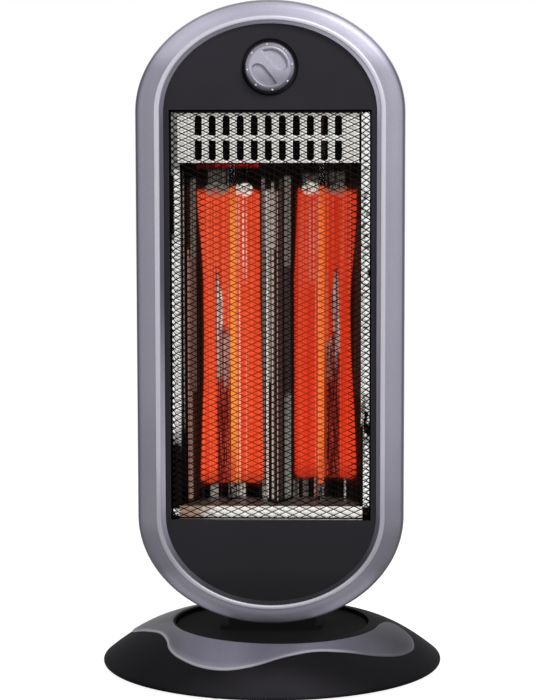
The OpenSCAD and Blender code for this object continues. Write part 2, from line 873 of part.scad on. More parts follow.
// Finger cup behind the handle opening
module handle_cup() {
    wall = 2;
    inner_y = rear_y - shell_wall - seat_gap;
    color(black_satin)
    difference() {
        union() {
            translate([-handle_w / 2 - wall, inner_y - handle_depth, handle_z - handle_h / 2 - wall])
                cube([handle_w + 2 * wall, handle_depth, handle_h + 2 * wall]);
            translate([-handle_w / 2 - 5, inner_y - 1.6, handle_z - handle_h / 2 - 5])
                cube([handle_w + 10, 1.6, handle_h + 10]);
        }
        translate([-handle_w / 2, inner_y - handle_depth + wall, handle_z - handle_h / 2])
            cube([handle_w, handle_depth, handle_h]);
    }
}

// Silver ring: a channel open to the rear, with screw bosses
module front_ring() {
    w = shell_wall;
    f = front_y;
    lip = ring_w - 3.1;
    section = [
        [0, ring_rear_y], [0, f + 12], [0.8, f + 6.5], [3, f + 3], [6.5, f + 1], [11, f + 0.4],
        [lip - 5.2, f + 0.8], [lip - 3.4, f + 1.1], [lip - 2.2, f + 0.3], [lip - 0.9, f + 0.4],
        [lip, f + 1.5], [lip + 1.4, f + 5], [ring_w, panel_y],
        [ring_w - w, panel_y], [lip - 1.2, f + 4], [lip - 5, f + 3.4], [11, f + 2.9],
        [7.5, f + 3.4], [4.6, f + 5.2], [w + 0.6, f + 7.5], [w, panel_y - 0.2], [w, ring_rear_y]
    ];
    color(silver_paint)
    difference() {
        union() {
            body_sweep(section, true);
            for (s = screw_spots)
                rod_y(s[0], body_z + s[1], 4, f + 2, panel_y);
        }
        for (s = screw_spots)
            rod_y(s[0], body_z + s[1], screw_r + screw_gap, f + 3.4, panel_y + 1);
    }
}

// Front panel with the window, the knob's well and the bosses behind it
module front_panel() {
    color(black_satin)
    difference() {
        union() {
            plate(panel_y, panel_rear_y)
                translate([0, body_z])
                    polygon(body_outline(panel_inset));
            rod_y(0, knob_z, well_r + 2, panel_y + 0.5, well_floor_rear);
            for (side = [-1, 1], row = chassis_screw_rows)
                rod_y(side * chassis_screw_x, window_z + row, 3.2, panel_rear_y - 1,
                    sleeve_rear_y - sleeve_t);
            for (s = screw_spots)
                rod_y(s[0], body_z + s[1], column_r, panel_rear_y - 1, panel_rear_y + 14);
        }
        plate(panel_y - 1, panel_rear_y + 1)
            translate([0, window_z])
                square([window_w, window_h], center = true);
        translate([0, panel_y, knob_z])
            rotate([-90, 0, 0])
                rotate_extrude()
                    polygon([[0, -1], [well_r + 1.2, -1], [well_r + 0.4, 0], [well_r - 0.8, 1],
                        [well_r - 1.6, well_depth], [0, well_depth]]);
        rod_y(0, knob_z, bush_r + seat_gap, panel_y, well_floor_rear + 1);
        for (side = [-1, 1], row = chassis_screw_rows)
            rod_y(side * chassis_screw_x, window_z + row, screw_r + screw_gap, panel_rear_y,
                sleeve_rear_y);
        for (s = screw_spots)
            rod_y(s[0], body_z + s[1], screw_r + screw_gap, panel_y - 1, panel_rear_y + 15);
    }
}

// Long screws from the wells in the rear housing into the ring
module front_screws() {
    head_y = panel_rear_y + 18;
    color("silver")
        for (s = screw_spots) {
            rod_y(s[0], body_z + s[1], screw_r, front_y + 4.2, head_y);
            rod_y(s[0], body_z + s[1], screw_head_r, head_y, head_y + 2.2);
        }
}

// Sleeve behind the window with a flange that holds the guard
module guard_frame() {
    color([0.10, 0.10, 0.10])
    difference() {
        union() {
            plate(panel_rear_y, sleeve_rear_y)
                frame_outline(window_w / 2, window_h / 2, window_w / 2 + sleeve_t,
                    window_h / 2 + sleeve_t);
            plate(sleeve_rear_y - sleeve_t, sleeve_rear_y)
                frame_outline(window_w / 2 + sleeve_t / 2, window_h / 2 + sleeve_t / 2,
                    flange_half_w, flange_half_h);
        }
        flange_holes(sleeve_rear_y - sleeve_t - 1, sleeve_rear_y + 1);
    }
}

// Holes for the chassis screws
module flange_holes(y_from, y_to) {
    for (side = [-1, 1], row = chassis_screw_rows)
        rod_y(side * chassis_screw_x, window_z + row, screw_r + screw_gap, y_from, y_to);
}

// Net of diamond gaps: one polygon with its gaps as further paths
module net_outline(w, h, cols, rows) {
    a = w / cols / 2;
    b = h / rows / 2;
    shrink = 1 - strand_w * sqrt(a * a + b * b) / (2 * a * b);
    rim = [[-w / 2 - strand_w, -h / 2 - strand_w], [w / 2 + strand_w, -h / 2 - strand_w],
        [w / 2 + strand_w, h / 2 + strand_w], [-w / 2 - strand_w, h / 2 + strand_w]];
    middles = concat(
        [for (i = [0:cols - 1], j = [0:rows - 1]) [(2 * i + 1) * a - w / 2, (2 * j + 1) * b - h / 2]],
        cols < 2 ? [] :
            [for (i = [1:cols - 1], j = [1:rows - 1]) [2 * i * a - w / 2, 2 * j * b - h / 2]]
    );
    gaps = [for (m = middles) each
        [m + [a * shrink, 0], m + [0, b * shrink], m - [a * shrink, 0], m - [0, b * shrink]]];
    polygon(concat(rim, gaps), concat([[0, 1, 2, 3]],
        [for (k = [0:len(middles) - 1]) [for (j = [0:3]) 4 + 4 * k + j]]));
}

// Expanded-metal guard: a flat front net whose sides fold back to a hem
module guard_mesh() {
    net_h = window_h - 2 * guard_margin - 2 * strand_w;
    fold = fold_w / 2;
    net_cols = 6;
    net_rows = 18;
    side_rows = 14;
    hem_in = window_w / 2 - guard_margin;
    lap = 0.6;
    color([0.07, 0.07, 0.07])
    difference() {
        union() {
            translate([-insert_left, 0, window_z])
                plate(guard_y, guard_y + guard_t)
                    net_outline(fold_w - 2 * strand_w, net_h, net_cols, net_rows);
            for (side = [-1, 1]) {
                from = [side * (fold - lap) - insert_left, guard_y + guard_t / 2];
                to = [side * hem_in, sleeve_rear_y + guard_t / 2];
                run = norm(to - from);
                translate([(from[0] + to[0]) / 2, (from[1] + to[1]) / 2, window_z])
                    rotate(atan2(to[1] - from[1], to[0] - from[0]))
                        plate(-guard_t / 2, guard_t / 2)
                            net_outline(run - 2 * strand_w, net_h, 1, side_rows);
            }
            plate(sleeve_rear_y, hem_rear_y)
                frame_outline(hem_in - lap, net_h / 2 + strand_w - guard_t, flange_half_w,
                    flange_half_h);
        }
        flange_holes(sleeve_rear_y - 1, hem_rear_y + 1);
    }
}

// Black sheet steel pan that carries the reflectors and tubes
module chassis() {
    color([0.06, 0.06, 0.06])
    difference() {
        union() {
            plate(hem_rear_y, chassis_rear_y)
                frame_outline(chassis_half_w - chassis_t, chassis_half_h - chassis_t,
                    chassis_half_w, chassis_half_h);
            plate(hem_rear_y, hem_rear_y + chassis_t)
                frame_outline(chassis_half_w - chassis_t / 2, chassis_half_h - chassis_t / 2,
                    flange_half_w, flange_half_h);
            plate(chassis_rear_y - chassis_t, chassis_rear_y)
                translate([0, window_z])
                    square([2 * chassis_half_w - chassis_t, 2 * chassis_half_h - chassis_t],
                        center = true);
        }
        flange_holes(hem_rear_y - 1, hem_rear_y + chassis_t + 1);
        for (x = tube_x, end = [-1, 1])
            rod_z(x, tube_y, 4, window_z + end * chassis_half_h - 3, window_z + end * chassis_half_h + 3);
    }
}

// Screws through chassis, guard hem and sleeve flange into the panel
module chassis_screws() {
    head_y = hem_rear_y + chassis_t;
    color("silver")
        for (side = [-1, 1], row = chassis_screw_rows) {
            rod_y(side * chassis_screw_x, window_z + row, screw_r, panel_rear_y + 0.8, head_y);
            rod_y(side * chassis_screw_x, window_z + row, 2.8, head_y, head_y + 1.6);
        }
}

// Holes for the two tubes in a shelf
module tube_holes(z) {
    for (x = tube_x)
        rod_z(x, tube_y, tube_r + 2, z - 3, z + 3);
}

// Bright panel with two rows of slots, and the shelf that closes the cavity above
module vent_panel() {
    mid = (vent_top + cavity_top) / 2;
    flat = slot_h - slot_w / 2;
    color(bright_metal)
    difference() {
        union() {
            translate([-insert_left, 0, mid])
                plate(bright_y, bright_y + bright_t)
                    square([vent_w, vent_h], center = true);
            translate([-shelf_half, bright_y, cavity_top])
                cube([2 * shelf_half, shelf_rear_y - bright_y, bright_t]);
            translate([-shelf_half, bright_y, vent_top - bright_t])
                cube([2 * shelf_half, 14, bright_t]);
        }
        translate([-insert_left, 0, mid])
            plate(bright_y - 1, bright_y + bright_t + 1)
                for (i = [0:slot_count - 1], row = [-1, 1])
                    translate([(i - (slot_count - 1) / 2) * slot_pitch, row * slot_row_gap / 2]) {
                        translate([-slot_w / 2, row > 0 ? 0 : -flat])
                            square([slot_w, flat]);
                        translate([0, row * flat])
                            circle(slot_w / 2, $fn = 24);
                    }
        tube_holes(cavity_top);
    }
}

// Bright lip at the bottom of the window and the shelf that closes the cavity below
module lip_panel() {
    color(bright_metal)
    difference() {
        union() {
            translate([-insert_left - vent_w / 2, bright_y, window_bottom])
                cube([vent_w + 2 * insert_left, bright_t, lip_h]);
            translate([-shelf_half, bright_y, cavity_bottom - bright_t])
                cube([2 * shelf_half, shelf_rear_y - bright_y, bright_t]);
        }
        tube_holes(cavity_bottom);
    }
}

// Bright strip beside the cavity: a front flange and a wall back to the reflector
module wing(side) {
    trough_edge = tube_right + side * (tube_pitch / 2 + trough_half + tab_gap);
    flange_y = hem_rear_y + tab_gap;
    wall = [[side * wing_inner, flange_y], [trough_edge, flank_end_y]];
    thick = [side * 1.2, 0];
    color(bright_metal) {
        translate([side > 0 ? wing_inner : -wing_outer, flange_y, window_bottom])
            cube([wing_w, bright_t, window_h - 1]);
        translate([0, 0, cavity_bottom + seat_gap])
            linear_extrude(cavity_top - cavity_bottom - 2 * seat_gap)
                polygon([wall[0], wall[1], wall[1] + thick, wall[0] + thick]);
    }
}
module wing_left() {
    wing(-1);
}
module wing_right() {
    wing(1);
}

// Depth of a reflector's front surface, beside its tube's axis
function trough_y(x) = abs(x) <= curve_half ? vertex_y - x * x / 4 / focus
    : flank_start_y - (abs(x) - curve_half) * flank_slope;
function trough_slope(x) = abs(x) <= curve_half ? abs(x) / 2 / focus : flank_slope;

// Polished trough behind one tube
module reflector(x) {
    steps = 12;
    xs = concat([-trough_half], [for (i = [-steps:steps]) curve_half * i / steps], [trough_half]);
    front = [for (p = xs) [p, trough_y(p)]];
    back = [for (i = [len(xs) - 1:-1:0]) let (p = xs[i])
        [p, trough_y(p) + bright_t * sqrt(1 + pow(trough_slope(p), 2))]];
    color(bright_metal)
        translate([x, 0, cavity_bottom + seat_gap])
            linear_extrude(cavity_top - cavity_bottom - 2 * seat_gap)
                polygon(concat(front, back));
}
module reflector_left() {
    reflector(tube_x[0]);
}
module reflector_right() {
    reflector(tube_x[1]);
}

// Quartz tube
module quartz_tube(x) {
    color([0.85, 0.85, 0.85, 0.4])
    difference() {
        rod_z(x, tube_y, tube_r, tube_bottom, tube_top);
        rod_z(x, tube_y, tube_r - tube_wall, tube_bottom - 1, tube_top + 1);
    }
}
module quartz_tube_left() {
    quartz_tube(tube_x[0]);
}
module quartz_tube_right() {
    quartz_tube(tube_x[1]);
}

// Carbon cord with its end sleeves and lead pins
module filament(x) {
    sleeve_up = 8;
    color([1.0, 0.45, 0.12]) {
        rod_z(x, tube_y, carbon_r, carbon_bottom, carbon_bottom + carbon_l);
        rod_z(x, tube_y, carbon_r + 0.6, carbon_bottom + carbon_l - 2,
            carbon_bottom + carbon_l + sleeve_up);
        rod_z(x, tube_y, 0.9, tube_bottom, tube_top);
    }
}
module filament_left() {
    filament(tube_x[0]);
}
module filament_right() {
    filament(tube_x[1]);
}

// Ceramic caps on both ends of both tubes
module end_caps() {
    color([0.93, 0.91, 0.86])
        for (x = tube_x) {
            difference() {
                rod_z(x, tube_y, cap_r, lower_cap_z, lower_cap_z + cap_h);
                rod_z(x, tube_y, tube_r + 0.1, tube_bottom, lower_cap_z + cap_h + 1);
            }
            difference() {
                rod_z(x, tube_y, cap_r, upper_bracket_z - cap_h, upper_bracket_z);
                rod_z(x, tube_y, tube_r + 0.1, upper_bracket_z - cap_h - 1, tube_top);
            }
        }
}

// Steel strip that the caps stand on or hang from, with tabs on the chassis
module lamp_bracket(z, tab) {
    x_from = tube_x[0] - bracket_reach;
    width = tube_pitch + 2 * bracket_reach;
    color(plain_steel)
    difference() {
        union() {
            translate([x_from, tube_y - 10, z])
                cube([width, shelf_rear_y - tube_y + 10, bracket_t]);
            translate([x_from, shelf_rear_y - bracket_t, tab > 0 ? z : z + bracket_t - abs(tab)])
                cube([width, bracket_t, abs(tab)]);
        }
        for (x = tube_x)
            rod_z(x, tube_y, 2.5, z - 1, z + bracket_t + 1);
    }
}
module upper_lamp_bracket() {
    lamp_bracket(upper_bracket_z, upper_tab);
}
module lower_lamp_bracket() {
    lamp_bracket(lower_cap_z - bracket_t, lower_tab);
}

// Rotary switch behind the panel, with its threaded bush
module rotary_switch() {
    color([0.82, 0.80, 0.72])
    difference() {
        union() {
            rod_y(0, knob_z, switch_r, well_floor_rear, well_floor_rear + switch_depth);
            rod_y(0, knob_z, bush_r, well_floor_y - 4, well_floor_rear + 1);
            for (i = [-1:1])
                translate([9 * i - 2, well_floor_rear + switch_depth - 0.5, knob_z - 4])
                    cube([4, 6, 1]);
        }
        rod_y(0, knob_z, shaft_r + running_gap, well_floor_y - 5, well_floor_rear + 9);
    }
}

// Nut that holds the switch in the well
module switch_nut() {
    color("silver")
    difference() {
        translate([0, well_floor_y, knob_z])
            rotate([90, 0, 0])
                cylinder(r = bush_r + 3, h = 1.6, $fn = 6);
        rod_y(0, knob_z, bush_r + 0.1, well_floor_y - 3, well_floor_y + 1);
    }
}

// Thermal cut-out on the rear of the chassis
module thermal_cutout() {
    disc_r = 8;
    disc_z = window_z + 96;
    lug_w = 6;
    lug_h = 4;
    lug_x = disc_r + 2;
    color([0.80, 0.78, 0.70]) {
        rod_y(tube_right, disc_z, disc_r, chassis_rear_y, chassis_rear_y + 6);
        for (side = [-1, 1])
            translate([tube_right + lug_x * side - lug_w / 2, chassis_rear_y, disc_z - lug_h / 2])
                cube([lug_w, 1, lug_h]);
    }
}

// Wires inside the body: supply wires up to the switch, and wires to the four caps
module body_wiring() {
    wire_r = 1.3;
    hub_edge = bore_r - wire_r - tab_gap;
    wall_x = window_w / 2 + 2 + wire_r + tab_gap;
    cap_gap = 0.3;
    top_z = window_z + chassis_half_h;
    low_z = window_z - chassis_half_h;
    switch_back = well_floor_rear + switch_depth;
    color([0.55, 0.15, 0.12]) {
        for (i = [0, 1])
            wire(open_curve([
                [-hub_edge + 3.2 * i, 3 * i, hub_bottom + 2],
                [-hub_edge + 3.2 * i, 3 * i, neck_floor_z - 10],
                [-20, 8 + 4 * i, neck_floor_z + 14], [-70, 12 + 4 * i, low_z - 52],
                [-wall_x - 1, 14 + 4 * i, low_z - 6], [-wall_x, 16 + 4 * i, low_z + 74],
                [-wall_x, 16 + 4 * i, top_z - 106], [-wall_x - 1, 14 + 4 * i, top_z + 6],
                [-66, 6 + 4 * i, top_z + 34], [-22, switch_back + 2 + 4 * i, knob_z - 2 + 4 * i],
                [-switch_r + 4, switch_back + 1.7 + 3 * i, knob_z + 4 * i]
            ], 3), wire_r, [0, 1, 0.1]);
        for (side = [-1, 1]) {
            x = tube_x[side > 0 ? 1 : 0];
            wire(open_curve([
                [x, tube_y, upper_bracket_z + cap_gap], [x, tube_y, top_z + 5],
                [x * 0.55, 6, top_z + 14], [11 * side, switch_back + 5, knob_z - 14],
                [9 * side, switch_back + 3, knob_z - 6]
            ], 4), wire_r, [0, 1, 0.1]);
            wire(open_curve([
                [x, tube_y, lower_cap_z - cap_gap], [x, tube_y, low_z - 6],
                [x * 0.7, 14, low_z - 30], [16 * side, 12, neck_floor_z + 26],
                [8 * side, 10, neck_floor_z + 10]
            ], 4), wire_r, [0, 1, 0.1]);
        }
    }
}

// Control knob: hollow behind, with two D-shaped hollows beside a curved grip bar and eight pips
module control_knob() {
    wall = 2.5;
    dish_r = knob_r - 5.5;
    bar = 5;
    pip_r = 0.8;
    pip_ring_r = knob_r - 1.9;
    color([0.68, 0.67, 0.72])
    translate([0, 0, knob_z])
    difference() {
        union() {
            difference() {
                translate([0, knob_rear_y, 0])
                    rotate([90, 0, 0])
                        rotate_extrude()
                            polygon([[0, 0], [knob_r, 0], [knob_r, knob_rear_y - knob_front_y - 3],
                                [knob_r - 0.9, knob_rear_y - knob_front_y - 1],
                                [knob_r - 3, knob_rear_y - knob_front_y], [0, knob_rear_y - knob_front_y]]);
                rod_y(0, 0, knob_r - wall, knob_front_y + 6.5, knob_rear_y + 1);
            }
            for (i = [0:7])
                rod_y(pip_ring_r * cos(7 + 45 * i), pip_ring_r * sin(7 + 45 * i), pip_r,
                    knob_front_y, knob_front_y + 3);
            rod_y(0, 0, 6.5, knob_front_y + 5, knob_rear_y - 2.5);
        }
        rod_y(0, 0, shaft_r + running_gap, knob_front_y + 6.5, knob_rear_y);
        for (half = [0, 180])
            rotate([0, half, 0])
                plate(knob_front_y - 1, knob_front_y + 3.5)
                    intersection() {
                        circle(dish_r);
                        rotate(-48)
                            translate([-2, dish_r + bar / 2])
                                resize([2.6 * dish_r, 2 * dish_r])
                                    circle(dish_r);
                    }
    }
}

// Shaft between switch and knob
module switch_shaft() {
    color("silver")
        rod_y(0, knob_z, shaft_r, knob_front_y + 7, well_floor_rear + 8);
}

base_cover();
base_trim();
base_plate();
ballast_ring();
rubber_feet();
bearing_ring();
swing_motor();
motor_screws();
tip_switch();
cord_gland();
terminal_block();
base_wiring();
base_screws();
tip_plunger();
tip_spring();
motor_shaft();
drive_pinion();
turntable();
thrust_washer();
gear_sector();
hub_nut();
neck();
neck_screws();
rear_housing();
handle_cup();
front_ring();
front_panel();
front_screws();
guard_frame();
guard_mesh();
chassis();
chassis_screws();
vent_panel();
lip_panel();
wing_left();
wing_right();
reflector_left();
reflector_right();
quartz_tube_left();
quartz_tube_right();
filament_left();
filament_right();
end_caps();
upper_lamp_bracket();
lower_lamp_bracket();
rotary_switch();
switch_nut();
thermal_cutout();
body_wiring();
control_knob();
switch_shaft();
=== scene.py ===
import math
from functools import partialmethod

import bmesh
import bpy
import numpy as np
from mathutils import Matrix, Vector


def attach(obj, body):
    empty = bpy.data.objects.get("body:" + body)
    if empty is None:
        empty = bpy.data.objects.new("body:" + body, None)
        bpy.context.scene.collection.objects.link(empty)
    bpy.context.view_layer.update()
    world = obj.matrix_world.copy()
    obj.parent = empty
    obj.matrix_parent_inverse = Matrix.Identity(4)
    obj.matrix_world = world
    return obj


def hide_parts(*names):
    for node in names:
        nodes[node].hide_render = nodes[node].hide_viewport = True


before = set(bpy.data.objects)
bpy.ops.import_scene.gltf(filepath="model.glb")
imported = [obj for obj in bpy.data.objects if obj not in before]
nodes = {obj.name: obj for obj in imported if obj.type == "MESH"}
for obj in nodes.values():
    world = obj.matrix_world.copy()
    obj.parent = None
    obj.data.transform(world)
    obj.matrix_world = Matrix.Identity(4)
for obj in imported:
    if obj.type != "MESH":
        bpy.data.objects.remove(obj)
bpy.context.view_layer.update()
MM = 0.001

# Places that more than one part of the script needs, in mm like all its lengths without a unit
KNOB_Z = 627.8
TUBE_X, TUBE_Y = (-40.9, 52.1), 14
# depths between which the bright sheets turn from their front face, which has a painted glow, to their
# darker rear parts
SHEET_FRONT = (-30.2, -28.0)
# the net's folds, lower and upper edge and half a gap's width and height
GUARD_LEFT, GUARD_RIGHT, GUARD_BOTTOM, GUARD_TOP = -97.8, 93.8, 160.6, 582.4
NET_COLS, NET_ROWS = 27, 132
NET_DX = (GUARD_RIGHT - GUARD_LEFT) / NET_COLS
NET_DZ = (GUARD_TOP - GUARD_BOTTOM) / NET_ROWS
# strips of the net that stand before dark patches, where its painted red glow stops: from x, to x, top
NET_DARK = ((-56.5, -42, 366), (-56.5, -50.5, 430), (57.5, 71.6, 352), (61, 71.6, 404), (65.5, 70.5, 432))
# where the values of a noise mostly lie
LOW, HIGH = 0.3, 0.7

# Camera: place in metres, turns in degrees, focal length in pixels of a picture of the given width
CAM_PLACE = (0.09097, -2.6, 0.63215)
CAM_YAW, CAM_PITCH, CAM_ROLL = -2.007, 6.562, -0.1
FOCAL, PICTURE_WIDTH, SENSOR = 2497.17, 543, 36

scene = bpy.context.scene
yaw, pitch, roll = (math.radians(a) for a in (CAM_YAW, CAM_PITCH, CAM_ROLL))
forward = Vector((math.sin(yaw) * math.cos(pitch), math.cos(yaw) * math.cos(pitch), -math.sin(pitch)))
level = Vector((math.cos(yaw), -math.sin(yaw), 0))
upright = level.cross(forward)
right = level * math.cos(roll) + upright * math.sin(roll)
up = upright * math.cos(roll) - level * math.sin(roll)
cam_data = bpy.data.cameras.new("camera")
cam_data.sensor_fit = "HORIZONTAL"
cam_data.sensor_width = SENSOR
cam_data.lens = SENSOR * FOCAL / PICTURE_WIDTH
cam = bpy.data.objects.new("camera", cam_data)
cam.matrix_world = Matrix([(right[i], up[i], -forward[i], CAM_PLACE[i]) for i in range(3)] + [(0, 0, 0, 1)])
scene.collection.objects.link(cam)
scene.camera = cam
scene.view_settings.view_transform = "Standard"


# Material helpers
class Mat:
    """A node material with a Principled shader and short calls for its maths."""

    def __init__(self, name):
        self.mat = bpy.data.materials.new(name)
        self.mat.use_nodes = True
        self.tree = self.mat.node_tree
        self.shader = self.tree.nodes["Principled BSDF"]
        self.at = self.new("ShaderNodeTexCoord").outputs["Object"]
        self.split = self.new("ShaderNodeSeparateXYZ")
        self.put(self.at, self.split.inputs[0])

    def new(self, kind, **props):
        n = self.tree.nodes.new(kind)
        for k, v in props.items():
            setattr(n, k, v)
        return n

    def put(self, value, socket):
        if isinstance(value, bpy.types.NodeSocket):
            self.tree.links.new(value, socket)
        else:
            socket.default_value = value

    def set(self, **values):
        for k, v in values.items():
            self.put(v, self.shader.inputs[k.replace("_", " ")])

    def glow(self, colour):
        self.set(Emission_Color=colour, Emission_Strength=1)

    def mm(self, i):
        """The place along x, y or z in the object, in mm."""
        return self.mul(self.split.outputs[i], 1000)

    def math(self, op, a, b=0):
        n = self.new("ShaderNodeMath", operation=op)
        self.put(a, n.inputs[0])
        self.put(b, n.inputs[1])
        return n.outputs[0]

    add = partialmethod(math, "ADD")
    sub = partialmethod(math, "SUBTRACT")
    mul = partialmethod(math, "MULTIPLY")
    div = partialmethod(math, "DIVIDE")
    most = partialmethod(math, "MAXIMUM")

    def step(self, x, lo, hi, to_lo=0, to_hi=1):
        """A smooth change from to_lo at lo to to_hi at hi."""
        n = self.new("ShaderNodeMapRange", interpolation_type="SMOOTHSTEP", clamp=True)
        self.put(x, n.inputs[0])
        for i, v in zip((1, 2, 3, 4), (lo, hi, to_lo, to_hi)):
            self.put(v, n.inputs[i])
        return n.outputs[0]

    def below(self, x, lo, hi):
        """1 up to lo and 0 from hi."""
        return self.step(x, lo, hi, 1, 0)

    def window(self, x, lo, hi, soft):
        """1 between lo and hi, 0 outside, with soft edges."""
        return self.mul(self.step(x, self.sub(lo, soft), self.add(lo, soft)),
                        self.below(x, self.sub(hi, soft), self.add(hi, soft)))

    def levels(self, x, *stops):
        """A value that runs through the (x, value) stops, which rise in x."""
        out = stops[0][1]
        for (x_a, v_a), (x_b, v_b) in zip(stops, stops[1:]):
            out = self.add(out, self.step(x, x_a, x_b, 0, v_b - v_a))
        return out

    def noise(self, scale, detail=3, rough=0.5, stretch=(1, 1, 1)):
        m = self.new("ShaderNodeMapping")
        self.put(self.at, m.inputs["Vector"])
        m.inputs["Scale"].default_value = stretch
        n = self.new("ShaderNodeTexNoise")
        self.put(m.outputs[0], n.inputs["Vector"])
        n.inputs["Scale"].default_value = scale
        n.inputs["Detail"].default_value = detail
        n.inputs["Roughness"].default_value = rough
        return n.outputs["Fac"]

    def sway(self, noise, size):
        """A noise about zero."""
        return self.mul(self.sub(noise, 0.5), size)

    def vary(self, noise, at_low, at_high):
        """A number that follows a noise."""
        return self.step(noise, LOW, HIGH, at_low, at_high)

    def blend(self, noise, at_low, at_high):
        """A colour that follows a noise."""
        return self.ramp(noise, (LOW, at_low), (HIGH, at_high))

    def net_lines(self, u, w, lo, hi):
        """Lines in the net's two directions; u and w count half gaps."""
        return [self.step(self.math("PINGPONG", v, 1), lo, hi) for v in (self.add(w, u), self.sub(w, u))]

    def ramp(self, fac, *stops):
        n = self.new("ShaderNodeValToRGB")
        self.put(fac, n.inputs[0])
        el = n.color_ramp.elements
        while len(el) < len(stops):
            el.new(0.5)
        for e, (pos, col) in zip(el, stops):
            e.position = pos
            e.color = (*col, 1)
        return n.outputs["Color"]

    def mix(self, fac, a, b):
        """The colour a at fac 0 and b at fac 1."""
        n = self.new("ShaderNodeMix", data_type="RGBA")
        for v, i in ((fac, 0), (a, 6), (b, 7)):
            self.put((*v, 1) if isinstance(v, tuple) else v, n.inputs[i])
        return n.outputs[2]

    def between(self, fac, a, b):
        """The value a at fac 0 and b at fac 1."""
        n = self.new("ShaderNodeMix", data_type="FLOAT")
        for v, i in ((fac, 0), (a, 2), (b, 3)):
            self.put(v, n.inputs[i])
        return n.outputs[0]

    def finish(self, colour, rough, bump, **more):
        """Roughness is a noise and its two ends; bump is a noise, its depth in metres and its strength."""
        self.set(Base_Color=colour, Roughness=self.vary(*rough), Normal=self.bump(*bump), **more)
        return self.mat

    def attribute(self, name):
        return self.new("ShaderNodeAttribute", attribute_name=name).outputs["Fac"]

    def shade(self, colour, factor):
        """The colour times a factor."""
        n = self.new("ShaderNodeVectorMath", operation="SCALE")
        self.put(colour, n.inputs[0])
        self.put(factor, n.inputs["Scale"])
        return n.outputs[0]

    def bump(self, height, distance, strength, normal=None):
        n = self.new("ShaderNodeBump")
        n.inputs["Strength"].default_value = strength
        n.inputs["Distance"].default_value = distance
        self.put(height, n.inputs["Height"])
        if normal is not None:
            self.put(normal, n.inputs["Normal"])
        return n.outputs["Normal"]


def srgb(r, g, b):
    """Linear colour of an 8-bit display colour."""
    return tuple(c / 255 / 12.92 if c <= 10 else ((c / 255 + 0.055) / 1.055) ** 2.4 for c in (r, g, b))


NO_LIGHT = (0, 0, 0)
RING_SILVER = srgb(132, 130, 144), srgb(152, 149, 163)


# Silver paint, with light and shade painted into its colour on the ring, the trim and the knob
def silver_paint(name, colours, metal, coat, rough, gloss, painted_light):
    m = Mat(name)
    flake = m.noise(1400, 2)
    cloud = m.noise(9, 3)
    col = m.blend(m.add(m.mul(flake, 0.6), m.mul(cloud, 0.4)), *colours)
    return m.finish(painted_light(m, col), (cloud, rough - 0.04, rough + 0.04), (flake, 0.00002, 0.25),
                    Metallic=metal, Specular_IOR_Level=gloss, Coat_Weight=coat, Coat_Roughness=0.2)


def painted_band_light(m, x, z):
    """Painted light and shade on the ring's broad band, over its height and across."""
    band = m.levels(z, (50, 0.48), (64, 0.66), (76, 0.78), (95, 0.74), (112, 0.53), (138, 0.55), (165, 0.76),
                    (205, 0.87), (300, 1), (622, 1), (650, 1.72), (672, 1.75), (690, 1.42))
    foot = m.mul(m.below(z, 150, 220), m.step(x, -60, 60, 0.14, -0.08))
    return band, m.add(m.step(x, -60, 60, 0.78, 1.04), foot)


def painted_wall_light(m, x, z):
    """Painted light and shade on the wall inside the bead: over its height, and across the lower and
    the upper arch.
    """
    height = m.levels(z, (70, 0.12), (110, 0.2), (200, 0.7), (560, 0.95), (620, 2), (670, 3))
    lower = m.levels(x, (-111, 3.6), (-90, 2.2), (-60, 1.4), (0, 1), (60, 0.9), (95, 1), (110, 1.8))
    upper = m.levels(x, (-110, 0.65), (-60, 1), (0, 1.3), (78, 1.9), (107, 3))
    return m.mul(height, m.between(m.step(z, 200, 420), lower, upper))


def ring_painted_light(m, col):
    """Light and shade painted into the ring's silver by zone: -2 is the outer corner, in painted shade,
    -1 the outer edge, 0 the band, 1 the bead, given a lighter silver as a painted highlight, 2 the wall
    inside it.
    """
    x, z, zone = m.mm(0), m.mm(2), m.attribute("zone")
    band, side = painted_band_light(m, x, z)
    bead = m.levels(z, (62, 0.86), (85, 0.72), (120, 0.52), (160, 0.56), (240, 0.74), (640, 0.76),
                    (690, 0.74))
    edge = m.below(zone, -1, 0)
    # painted shade: the outer corner darker, less so at the top
    corner = m.between(m.step(zone, -2, -1), m.step(z, 600, 660, 0.3, 0.52), 1)
    # the edge low on the ring takes a painted glow, for light from the white ground
    under = m.levels(m.math("ABSOLUTE", x), (0, 0.024), (34, 0.05), (50, 0.12), (66, 0.16), (94, 0.11),
                     (115, 0))
    under = m.mul(m.mul(under, corner), m.mul(edge, m.below(z, 105, 135)))
    m.glow(m.shade((0.95, 0.94, 1.12), under))
    # painted shade: the outer edge darker above its lowest part, most at the top right
    edge_shade = m.between(m.step(z, 560, 640), 0.05, m.step(x, -70, 20, 0.08, 0.27))
    band = m.mul(m.mul(band, corner), m.sub(1, m.mul(m.mul(edge, m.step(z, 110, 200)), edge_shade)))
    # the bead takes a lighter silver as a painted highlight; the wall inside it takes painted light and
    # shade
    col = m.mix(m.step(zone, 0.5, 1), m.shade(col, m.mul(side, band)), m.shade(srgb(206, 204, 216), bead))
    return m.mix(m.step(zone, 1.5, 2), col, m.shade(RING_SILVER[0], painted_wall_light(m, x, z)))


